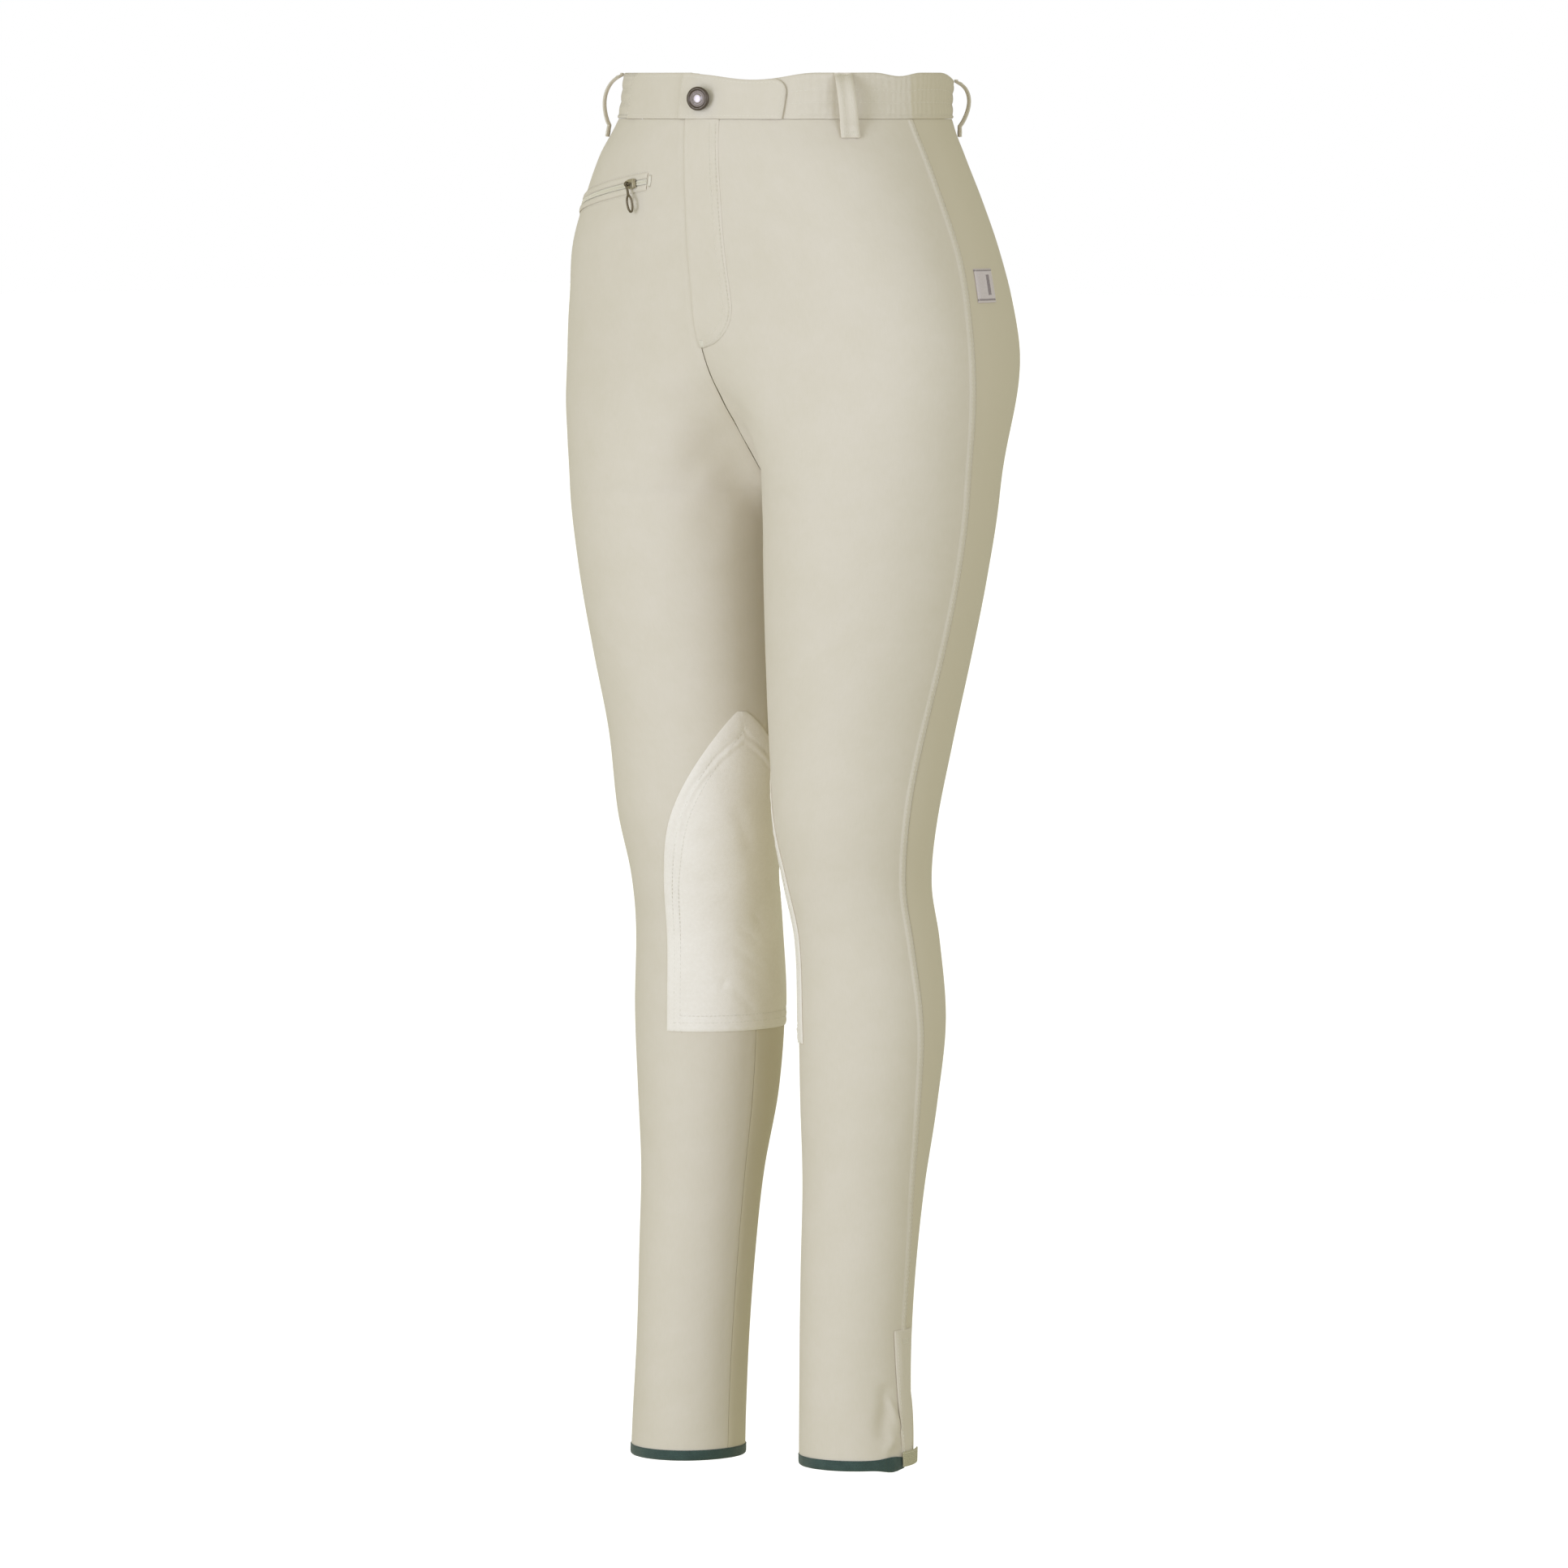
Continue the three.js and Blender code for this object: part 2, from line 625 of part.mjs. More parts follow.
// The pull: an eye round the bail and an open oval ring, hanging down the cloth.
function zipPull() {
  const eye = new THREE.Shape();
  eye.absarc(0, 0, EYE_HOLE + EYE_WALL, 0, 2 * Math.PI);
  const hole = new THREE.Path();
  hole.absarc(0, 0, EYE_HOLE, 0, 2 * Math.PI, true);
  eye.holes.push(hole);
  const knuckle = new THREE.ExtrudeGeometry(eye, { depth: EYE_WIDTH, bevelEnabled: false, curveSegments: 8 });
  knuckle.translate(0, 0, -EYE_WIDTH / 2).rotateY(Math.PI / 2);

  const x = RING_WIDTH / 2;
  const ring = new THREE.Shape();
  ring.absellipse(0, 0, x, RING_LENGTH / 2, 0, 2 * Math.PI);
  const open = new THREE.Path();
  open.absellipse(0, 0, x - RING_BAR, RING_LENGTH / 2 - RING_BAR, 0, 2 * Math.PI, true);
  ring.holes.push(open);
  const oval = new THREE.ExtrudeGeometry(ring, { depth: RING_THICK, bevelEnabled: false, curveSegments: 10 });
  oval.translate(0, PULL_LENGTH - RING_LENGTH / 2, -RING_THICK / 2);

  const start = EYE_HOLE + EYE_WALL / 2;
  const neckEnd = PULL_LENGTH - RING_LENGTH + RING_BAR / 2;
  const neck = new THREE.BoxGeometry(1.8, neckEnd - start, RING_THICK);
  neck.translate(0, (start + neckEnd) / 2, 0);
  const pull = mesh('zip_pull', joined(knuckle, neck, oval), material('dark_metal', METAL_COLOUR, 0.35, 1));
  pull.position.set(0, 0, SLIDER_THICK + BAIL_HEIGHT);
  pull.rotation.x = -PULL_SLANT * RADIAN;
  return pull;
}

// A shank button: a domed rim round a sunken face, turned about its own middle.
function button() {
  const r = BUTTON_ACROSS / 2;
  const profile = [
    [0, 0], [r - 1.2, 0], [r, 0.9], [r, 1.6], [r - 0.8, 2.5], [r - 1.9, 2.5],
    [r - 2.5, 1.7], [2.6, 1.7], [2.0, 2.3], [0, 2.5],
  ];
  const lathe = new THREE.LatheGeometry(profile.map(([x, y]) => new THREE.Vector2(x, y)), 28);
  const piece = mesh('button', lathe, material('gunmetal', METAL_COLOUR, 0.3, 1));
  const rise = BAND_PROUD + LAP_RISE + LIFT;
  const foot = frontBandPoint(BUTTON_X, BUTTON_HEIGHT / BAND_HEIGHT, rise + 0.6);
  const out = frontBandPoint(BUTTON_X, BUTTON_HEIGHT / BAND_HEIGHT, rise + 5).sub(foot).normalize();
  piece.position.copy(foot);
  piece.quaternion.setFromUnitVectors(new THREE.Vector3(0, 1, 0), out);
  return piece;
}

function label() {
  const reach = read(BODY, 'back', LABEL.z);
  const half = LABEL.width / 2 / reach / RADIAN;
  const place = (u, v, lift) => {
    const turn = LABEL.turn + half * (1 - 2 * u);
    return onCloth(1, turn, LABEL.z + LABEL.height * (0.5 - v), lift);
  };
  return mesh('label', stripGeometry(place, 5, 3, LIFT, TRIM_CLOTH), material('woven_label', LABEL_COLOUR, 0.7));
}

// Where a patch's front or back edge has come to at this drop below its peak.
function patchEdge(edge, drop) {
  const quarter = (Math.min(drop / edge.shoulder, 1) * Math.PI) / 2;
  return THREE.MathUtils.lerp(PATCH_PEAK_TURN, edge.turn, Math.sin(quarter) ** 0.8);
}

// A knee patch lies over the inside leg seam, with a rounded top and a straight foot.
function kneePatch(name, side) {
  const place = (u, v, lift) => {
    const drop = (PATCH_FOOT - PATCH_TOP) * v ** 1.25 + 2 * (1 - v);
    const turn = THREE.MathUtils.lerp(patchEdge(PATCH_FRONT, drop), patchEdge(PATCH_BACK, drop), u);
    return onCloth(side, turn + PATCH_TURNED[name], -PATCH_TOP - drop, lift);
  };
  const geometry = stripGeometry(place, PATCH_COLUMNS, PATCH_ROWS, PATCH_LIFT, TRIM_CLOTH);
  return mesh(`knee_patch_${name}`, geometry, material('suede', SUEDE_COLOUR, 0.95));
}

// The binding goes round each hem from one side of the ankle's opening to the other.
function hemBinding(name, side) {
  const place = (u, v, lift) => {
    const turn = THREE.MathUtils.lerp(HEM_OPEN_FRONT, 360 + HEM_OPEN_BACK, u);
    const z = -HEM + BINDING_HEIGHT * (1 - v);
    const out = skinNormal(turn, z).setZ(0).normalize();
    const point = skin(turn, z).addScaledVector(out, lift);
    point.x *= side;
    return point;
  };
  const geometry = stripGeometry(place, 32, 1, -CLOTH - 0.3, CLOTH + 0.9);
  return mesh(`hem_binding_${name}`, geometry, material('binding', BINDING_COLOUR, 0.6));
}

// The flap that laps the ankle's opening, and below it the end of the grip tape.
function ankleClosure(name, side) {
  const foot = -HEM + BINDING_HEIGHT + SEAM_GAP;
  const turnFor = (length, z) => length / read(LEG, 'out', z) / RADIAN;
  const flap = (u, v, lift) => {
    const z = -VENT_TOP + (foot + VENT_TOP) * v;
    const width = 0.55 + 0.45 * v;
    const from = turnFor(FLAP_FRONT * width, z);
    const to = turnFor(-FLAP_BACK, z);
    return onCloth(side, read(SIDE_SEAM, 'turn', z) + from + (to - from) * u, z, lift);
  };
  const tab = (u, v, lift) => {
    const turn = THREE.MathUtils.lerp(HEM_OPEN_FRONT - 1, HEM_OPEN_BACK + 1, u);
    return onCloth(side, turn, -THREE.MathUtils.lerp(TAB_TOP, TAB_FOOT, v), lift);
  };
  const group = new THREE.Group();
  const flapLift = FELL_RISE + LIFT;
  group.add(mesh(`ankle_flap_${name}`, stripGeometry(flap, 4, 10, flapLift, TRIM_CLOTH), clothFinish()));
  const tabLift = flapLift + TRIM_CLOTH + LIFT;
  const grip = material('grip_tape', GRIP_COLOUR, 0.9);
  group.add(mesh(`grip_tab_${name}`, stripGeometry(tab, 3, 3, tabLift, TRIM_CLOTH), grip));
  return group;
}

const breeches = new THREE.Group();
breeches.name = 'riding_breeches';
breeches.add(panels(), waistband(), flyLap(), beltLoops(), zipPocket(), button(), label());
for (const [name, side] of [['left', 1], ['right', -1]]) {
  breeches.add(kneePatch(name, side), hemBinding(name, side), ankleClosure(name, side));
}

export default breeches;
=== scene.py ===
import math

import bpy
import numpy as np
from mathutils import Matrix, Vector


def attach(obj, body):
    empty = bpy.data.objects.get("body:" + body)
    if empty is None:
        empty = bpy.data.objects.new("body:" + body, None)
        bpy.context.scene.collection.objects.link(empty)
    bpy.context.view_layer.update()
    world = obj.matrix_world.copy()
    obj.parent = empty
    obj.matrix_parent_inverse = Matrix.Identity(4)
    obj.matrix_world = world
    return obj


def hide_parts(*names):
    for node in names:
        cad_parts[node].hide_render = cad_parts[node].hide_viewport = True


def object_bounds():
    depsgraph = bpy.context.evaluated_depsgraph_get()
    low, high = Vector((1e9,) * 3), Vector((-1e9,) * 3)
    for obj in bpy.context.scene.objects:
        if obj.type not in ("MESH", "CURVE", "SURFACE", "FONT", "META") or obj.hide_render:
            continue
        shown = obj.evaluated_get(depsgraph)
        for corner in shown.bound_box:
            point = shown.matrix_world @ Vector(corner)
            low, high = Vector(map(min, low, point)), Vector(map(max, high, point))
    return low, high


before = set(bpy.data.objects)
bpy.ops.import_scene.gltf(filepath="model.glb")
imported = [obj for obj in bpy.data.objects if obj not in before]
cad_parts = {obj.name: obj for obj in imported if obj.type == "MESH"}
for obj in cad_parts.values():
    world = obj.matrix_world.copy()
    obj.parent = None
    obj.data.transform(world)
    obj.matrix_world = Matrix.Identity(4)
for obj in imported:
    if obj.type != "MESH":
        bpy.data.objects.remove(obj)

cad_low, cad_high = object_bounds()
bpy.ops.object.select_all(action="DESELECT")

# Camera
# It stands round from the fronts towards the wearer's left, at waist height and far off, and looks
# down a little, so that both legs, the fly, the zip pocket and one side seam show.
CAMERA_ROUND = math.radians(43)
CAMERA_AWAY = 6.5
CAMERA_HEIGHT = -0.005
AIM_HEIGHT = -0.517
AIM_ASIDE = 0.0047
CAMERA_LENS = 205.3

towards_camera = Vector((math.sin(CAMERA_ROUND), -math.cos(CAMERA_ROUND), 0))
picture_right = Vector((math.cos(CAMERA_ROUND), math.sin(CAMERA_ROUND), 0))
camera_place = towards_camera * CAMERA_AWAY - picture_right * AIM_ASIDE
camera_place.z = CAMERA_HEIGHT
camera_aim = -picture_right * AIM_ASIDE
camera_aim.z = AIM_HEIGHT
look = (camera_aim - camera_place).to_track_quat("-Z", "Y").to_euler()
bpy.ops.object.camera_add(location=camera_place, rotation=look)
camera = bpy.context.object
camera.data.lens = CAMERA_LENS
camera.data.clip_end = 100
bpy.context.scene.camera = camera


# Studio
# A plain white floor a little under the hems, as where a wearer's feet would stand, and large soft
# lights: a tall cool one in front on the picture's left, a weaker one on its right, and warm light
# all round.
class Flow:
    """A number that varies over a surface. Arithmetic on it adds Math nodes."""

    def __init__(self, graph, socket):
        self.graph = graph
        self.socket = socket

    def reckon(self, operation, first, second=0.0):
        return self.graph.add("ShaderNodeMath", {"operation": operation}, {0: first, 1: second})

    def __add__(self, other):
        return self.reckon("ADD", self, other)

    def __radd__(self, other):
        return self.reckon("ADD", other, self)

    def __sub__(self, other):
        return self.reckon("SUBTRACT", self, other)

    def __rsub__(self, other):
        return self.reckon("SUBTRACT", other, self)

    def __mul__(self, other):
        return self.reckon("MULTIPLY", self, other)

    def __rmul__(self, other):
        return self.reckon("MULTIPLY", other, self)

    def sine(self):
        return self.reckon("SINE", self)

    def clamped(self):
        return self.graph.add("ShaderNodeClamp", {}, {"Value": self})

    def least(self, other):
        return self.reckon("MINIMUM", self, other)

    def over(self, other):
        return self.reckon("GREATER_THAN", self, other)

    def near(self, other, within):
        sockets = {0: self, 1: other, 2: within}
        return self.graph.add("ShaderNodeMath", {"operation": "COMPARE"}, sockets)


class Graph:
    """The node tree of one finish."""

    def __init__(self, tree):
        self.tree = tree
        tree.nodes.clear()

    def add(self, kind, settings, sockets, output=0):
        node = self.tree.nodes.new(kind)
        for name, value in settings.items():
            setattr(node, name, value)
        for name, value in sockets.items():
            if isinstance(value, Flow):
                self.tree.links.new(value.socket, node.inputs[name])
            else:
                node.inputs[name].default_value = value
        if node.outputs:
            return Flow(self, node.outputs[output])
        return None

    def noise(self, place, scale, detail=2.0, rough=0.5):
        sockets = {"Vector": place, "Scale": scale, "Detail": detail, "Roughness": rough}
        return self.add("ShaderNodeTexNoise", {}, sockets)

    def mix(self, share, first, second):
        sockets = {0: share, 6: first, 7: second}
        return self.add("ShaderNodeMix", {"data_type": "RGBA"}, sockets, output=2)

    def stretched(self, place, across, along):
        sockets = {"Vector": place, "Scale": (across, along, 1.0)}
        return self.add("ShaderNodeMapping", {}, sockets)


def screen_colour(red, green, blue):
    """A colour by its levels on a screen, 0 to 255, as Blender's own linear values."""
    levels = np.array((red, green, blue)) / 255
    linear = np.where(levels <= 0.04045, levels / 12.92, ((levels + 0.055) / 1.055) ** 2.4)
    return (*linear.tolist(), 1.0)


def finish(name, base, rough, bump=None, bump_height=0.0, **constants):
    """A material: base(graph) gives its colour and bump(graph) the height of its fine relief."""
    made = bpy.data.materials.new(name)
    made.use_nodes = True
    graph = Graph(made.node_tree)
    sockets = {"Base Color": base(graph), "Roughness": rough}
    for socket, value in constants.items():
        sockets[socket.replace("_", " ")] = value
    if bump:
        relief = {"Height": bump(graph), "Distance": bump_height, "Strength": 1.0}
        sockets["Normal"] = graph.add("ShaderNodeBump", {}, relief)
    shader = graph.add("ShaderNodeBsdfPrincipled", {}, sockets)
    graph.add("ShaderNodeOutputMaterial", {}, {"Surface": shader})
    return made


FLOOR_UNDER_HEM = 0.09
FLOOR_SIZE = 60
FLOOR_PAINT = screen_colour(188, 188, 190)
FLOOR_WHITE = screen_colour(252, 252, 252)
FLOOR_GLOW = 0.92
bpy.ops.mesh.primitive_plane_add(size=FLOOR_SIZE, location=(0, 0, cad_low.z - FLOOR_UNDER_HEM))
floor = bpy.context.object
floor.name = "studio_floor"
floor.visible_diffuse = False
floor.visible_glossy = False
floor.data.materials.append(finish(
    "studio_floor", lambda graph: FLOOR_PAINT, 0.9,
    Emission_Color=FLOOR_WHITE, Emission_Strength=FLOOR_GLOW, Specular_IOR_Level=0.0))

AMBIENT_COLOUR = (1.0, 0.985, 0.72, 1.0)
AMBIENT_STRENGTH = 0.531
BACKDROP_WHITE = (1.0, 1.0, 1.0, 1.0)
world = bpy.data.worlds.new("studio")
world.use_nodes = True
bpy.context.scene.world = world
sky = Graph(world.node_tree)
seen = sky.add("ShaderNodeLightPath", {}, {}, output="Is Camera Ray")
ambient = sky.add("ShaderNodeBackground", {}, {"Color": AMBIENT_COLOUR, "Strength": AMBIENT_STRENGTH})
backdrop = sky.add("ShaderNodeBackground", {}, {"Color": BACKDROP_WHITE, "Strength": 1.0})
chosen = sky.add("ShaderNodeMixShader", {}, {0: seen, 1: ambient, 2: backdrop})
sky.add("ShaderNodeOutputWorld", {}, {"Surface": chosen})
bpy.context.scene.view_settings.view_transform = "Standard"

STUDIO_LIGHTS = (
    # name, degrees round, metres away, height, width, tall, watts, colour
    ("key_light", -1, 2.6, -0.2, 1.3, 2.0, 40, (0.709, 0.775, 1.0)),
    ("side_light", 70, 2.6, 0.2, 1.2, 1.2, 19, (0.644, 0.72, 1.0)),
)
LIGHT_AIM = Vector((0, 0, -0.4))
for name, degrees_round, away, height, width, tall, watts, tint in STUDIO_LIGHTS:
    angle = math.radians(degrees_round)
    place = Vector((math.sin(angle) * away, -math.cos(angle) * away, height))
    turn = (LIGHT_AIM - place).to_track_quat("-Z", "Y").to_euler()
    bpy.ops.object.light_add(type="AREA", location=place, rotation=turn)
    light = bpy.context.object
    light.name = name
    light.data.shape = "RECTANGLE"
    light.data.size = width
    light.data.size_y = tall
    light.data.energy = watts
    light.data.color = tint


# Fronts and backs
# Four panels of fine stretch twill from the waist seam to the hem, sewn together at the sides, the
# inside legs and the middle. Each side seam is felled: a flat ridge on the front, sewn twice.
MM = 0.001
# The left leg ends a little higher than the right one, as in the photo.
HEM = {1: 1005, -1: 1015}
BINDING_HEIGHT = 6.5
BAND_HEIGHT = 33
SEAM_GAP = 0.3
LIFT = 0.3
PANEL_CLOTH = 1.3
FORK_START = 185
FORK_END = 332
FORK_LEAD_TURN = 142
FORK_LEAD_WIDTH = 38
FORK_LEAD_RISE = 31


def columns(names, rows):
    """A table as one array of numbers for each named column."""
    return dict(zip(names.split(), np.array(rows, float).T))


# Half width, depth of the fronts and of the backs, and how square each is in plan, by height.
BODY = columns("z side front back square_front square_back", (
    (0, 134, 103, 95, 2.0, 2.0),
    (-33, 135.5, 108, 90, 2.1, 2.0),
    (-60, 148, 109, 93.5, 2.45, 2.0),
    (-90, 161, 108, 104, 2.65, 2.0),
    (-125, 173.5, 106, 116.5, 2.85, 2.0),
    (-165, 183, 101, 128.5, 2.8, 2.0),
    (-206, 189, 98, 133.5, 2.7, 2.0),
    (-255, 189.5, 97, 126, 2.95, 2.0),
    (-330, 180, 95, 104, 2.85, 2.0),
))

# One leg's centre, then its reach outwards, inwards, to the front and to the back, and how much
# fuller it is inside behind.
LEG = columns("z x y out in front back calf", (
    (0, 60, 0, 90, 88, 94, 86, 0),
    (-100, 78, -1, 90, 88, 94, 86, 0),
    (-200, 92, -3, 90, 88, 94, 86, 0),
    (-300, 95.5, -5.7, 86.5, 84, 90, 82, 0),
    (-360, 91.7, -7.5, 82, 79, 84.7, 77, 0),
    (-420, 86, -8.5, 75, 73, 77.5, 71, 0),
    (-480, 80, -10, 67, 66, 69.3, 64, 0),
    (-540, 77.7, -13.5, 59.5, 57.7, 61.4, 56.3, 0),
    (-585, 76, -10.5, 53.8, 50.5, 54.8, 53.7, 1.5),
    (-625, 77.4, -6, 54.5, 46.5, 51.2, 56.2, 3),
    (-685, 79.4, -3.2, 55.8, 47.8, 52.2, 57.8, 4),
    (-745, 80.4, -5.1, 50.8, 47, 49.4, 51.4, 5),
    (-805, 80.5, -9, 45, 43.1, 45.3, 43.5, 2.5),
    (-865, 80.7, -14, 42.5, 40.7, 43.3, 40.2, 2.4),
    (-925, 81.3, -17.8, 41.3, 39.5, 42.3, 38.9, 2),
    (-985, 83, -20, 41.8, 39.6, 42.2, 39.2, 2.2),
    (-1025, 84, -20.5, 42.6, 39.8, 42.4, 39.4, 2.4),
))
CALF_TURN = 223
CALF_WIDTH = 55

# Where the side seam runs, in degrees round from straight out towards the front.
SIDE_SEAM = columns("z turn", (
    (-33, 13), (-90, 8.5), (-140, 4.5), (-203, 4), (-272, 2), (-349, 1), (-401, 2.5), (-450, 5),
    (-520, 8.5), (-604, 6.5), (-680, 2), (-741, -1), (-800, -6), (-860, -11), (-1025, -12),
))

# Creases and drag lines: side 1 is the wearer's left, -1 the right and 0 both. Each runs from one place to
# another, with its half width and its depth outwards in millimetres.
CREASES = columns("side turn z to_turn to_z width depth", (
    # From the fork out over the thighs.
    (1, 146, -228, 112, -262, 8, -0.9),
    (1, 152, -246, 122, -300, 10, -1.1),
    (-1, 146, -226, 108, -252, 9, -0.8),
    (-1, 153, -248, 124, -312, 11, -1.3),
    (0, 158, -262, 140, -345, 13, -1.2),
    # Under the belly and beside the fly's foot.
    (1, 128, -186, 96, -176, 10, -0.5),
    (-1, 134, -190, 92, -204, 11, -0.6),
    # From the hips towards the fork.
    (1, 22, -150, 62, -196, 22, -0.9),
    (-1, 30, -142, 66, -190, 20, -0.8),
    (0, 12, -205, 50, -262, 26, -0.8),
    # Knees, in front.
    (1, 118, -560, 66, -572, 11, -0.6),
    (1, 96, -600, 54, -590, 9, -0.5),
    (-1, 92, -566, 52, -556, 11, -0.6),
    (-1, 84, -604, 48, -612, 9, -0.5),
    # Backs of the knees.
    (1, -50, -552, -132, -566, 8, -1.5),
    (1, -62, -580, -140, -574, 7, -1.8),
    (1, -44, -606, -120, -598, 8, -1.4),
    (-1, -46, -560, -128, -548, 8, -1.6),
    (-1, -58, -584, -136, -592, 7, -1.7),
    (-1, -40, -612, -112, -608, 8, -1.2),
    # Seat folds, where the thighs begin.
    (1, -146, -318, -74, -336, 15, -2.2),
    (-1, -146, -322, -72, -332, 14, -2.0),
    (0, -150, -344, -100, -372, 12, -1.2),
    # Calves and shins.
    (1, 120, -760, 92, -830, 13, -0.5),
    (-1, 70, -772, 96, -850, 14, -0.5),
    (0, -66, -770, -96, -850, 14, -0.7),
    # The ankle opening of the left leg: a ridge, the hollow in front of it and the turned corner.
    (1, 15, -950, -4, -978, 2.4, 2.0),
    (1, 15, -942, 16, -986, 5.5, -2.4),
    (1, 21, -962, 23, -986, 6.0, -1.2),
    (1, 19, -994, 3, -982, 2.6, 1.7),
    (1, 0, -906, -6, -950, 3.0, 0.8),
    (1, -34, -955, -56, -1020, 13, 1.8),
    # The ankle opening of the right leg.
    (-1, 9, -960, -9, -987, 3.0, 1.6),
    (-1, 11, -942, 6, -996, 5.5, -1.9),
    (-1, 20, -999, -4, -991, 3.0, 1.2),
))


def read(table, column, z):
    """A smooth curve through one column of a table whose rows run downwards."""
    heights = table["z"]
    values = table[column]
    last = len(heights) - 1
    row = np.clip(np.searchsorted(-heights, -np.asarray(z, float), side="right") - 1, 0, last - 1)
    above = np.maximum(np.arange(last + 1) - 1, 0)
    below = np.minimum(np.arange(last + 1) + 1, last)
    slope = (values[below] - values[above]) / (heights[below] - heights[above])
    span = heights[row + 1] - heights[row]
    t = np.clip((z - heights[row]) / span, 0, 1)
    bend = t * t * (3 - 2 * t)
    lead = t * (1 - t) * (1 - t) * span * slope[row]
    tail = t * t * (t - 1) * span * slope[row + 1]
    return values[row] * (1 - bend) + values[row + 1] * bend + lead + tail


def body_reach(x, y, dx, dy, z):
    """How far the body's outline lies from (x, y) along (dx, dy)."""
    side = read(BODY, "side", z)
    front = read(BODY, "front", z)
    back = read(BODY, "back", z)
    square_front = read(BODY, "square_front", z)
    square_back = read(BODY, "square_back", z)
    near = np.zeros_like(x)
    far = 2 * side
    for _ in range(30):
        reach = (near + far) / 2
        px = np.abs(x + dx * reach)
        py = y + dy * reach
        depth = np.where(py < 0, front, back)
        power = np.where(py < 0, square_front, square_back)
        inside = (px / side) ** power + (np.abs(py) / depth) ** power < 1
        near = np.where(inside, reach, near)
        far = np.where(inside, far, reach)
    return near


def skin(turn, z):
    """The left half's smooth outer face: turn 0 is straight out, 90 the front, 180 the inside leg."""
    turn, z = np.broadcast_arrays(np.asarray(turn, float), np.asarray(z, float))
    dx = np.cos(np.radians(turn))
    dy = -np.sin(np.radians(turn))
    x = read(LEG, "x", z)
    y = read(LEG, "y", z)
    aside = np.abs(turn - FORK_LEAD_TURN) / FORK_LEAD_WIDTH
    lead = np.where(aside < 1, FORK_LEAD_RISE * np.cos(np.minimum(aside, 1) * math.pi / 2) ** 2, 0)
    t = np.clip((lead - z - FORK_START) / (FORK_END - FORK_START), 0, 1)
    fork = t ** 3 * (t * (6 * t - 15) + 10)
    across = read(LEG, "in", z)
    across = np.where(dx > 0, read(LEG, "out", z), across)
    deep = np.where(dy < 0, read(LEG, "front", z), read(LEG, "back", z))
    away = np.minimum(np.abs((turn - CALF_TURN + 180) % 360 - 180) / CALF_WIDTH, 1)
    fuller = read(LEG, "calf", z) * np.cos(away * math.pi / 2) ** 2
    leg = 1 / np.hypot(dx / across, dy / deep) + fuller
    reach = (1 - fork) * body_reach(x, y, dx, dy, z) + fork * leg
    return np.stack([x + dx * reach, y + dy * reach, z + 0 * reach], axis=-1)


def skin_normal(turn, z):
    round_it = skin(turn + 0.6, z) - skin(turn - 0.6, z)
    down = skin(turn, z - 1.5) - skin(turn, z + 1.5)
    normal = np.cross(round_it, down)
    return normal / np.linalg.norm(normal, axis=-1, keepdims=True)


def creased(table, side, turn, z):
    """How far a table's creases push the cloth out, or in where it is negative."""
    degree = np.radians(read(LEG, "out", z))
    depth = 0 * turn
    for row in range(len(table["z"])):
        own, turn_from, z_from, turn_to, z_to, width, deep = (column[row] for column in table.values())
        if own not in (0, side):
            continue
        across = ((turn - turn_from + 180) % 360 - 180) * degree
        along = z - z_from
        run = (turn_to - turn_from) * degree
        fall = z_to - z_from
        t = np.clip((across * run + along * fall) / (run * run + fall * fall), 0, 1)
        away = np.hypot(across - t * run, along - t * fall)
        depth = depth + deep * np.exp(-((away / width) ** 2)) * (4 * t * (1 - t)) ** 0.7
    return depth


def on_cloth(side, turn, z, lift=0.0):
    """A point of the cloth with its creases, on the left (1) or right (-1), lifted off it."""
    turn, z = np.broadcast_arrays(np.asarray(turn, float), np.asarray(z, float))
    wave = 0.25 * np.sin(np.radians(3 * turn) + z / 41) * np.sin(z / 57 + side)
    rise = np.asarray(lift + wave + creased(CREASES, side, turn, z))
    point = skin(turn, z) + skin_normal(turn, z) * rise[..., None]
    point[..., 0] = np.maximum(point[..., 0], SEAM_GAP / 2) * side
    return point


def turn_at(x, z, back=False):
    """The turn, from the front or the back, where the smooth face comes to x from the middle."""
    x, z = np.broadcast_arrays(np.asarray(x, float), np.asarray(z, float))
    near = np.full(x.shape, 60.0)
    far = np.full(x.shape, 180.0)
    for _ in range(26):
        turn = (near + far) / 2
        outside = skin(-turn if back else turn, z)[..., 0] > x
        near = np.where(outside, turn, near)
        far = np.where(outside, far, turn)
    return near


def edge_roll(away, deep=0.6, width=0.8):
    """How far a sewn or folded edge rolls in, at each distance from it."""
    return -deep * np.exp(-np.maximum(away, 0) / width)


def spaced(lengths, count, edges=(0, 0.35, 0.9, 1.8, 3.0)):
    """Stops across each row of a piece, in millimetres: close together beside both edges."""
    lengths = np.atleast_1d(np.asarray(lengths, float))[:, None]
    near = np.array(edges, float)[None, :] + 0 * lengths
    middle = np.linspace(0, 1, count)[None, 1:-1]
    inner = edges[-1]
    between = inner + (lengths - 2 * inner) * middle
    return np.concatenate([near, between, lengths - near[:, ::-1]], axis=1)


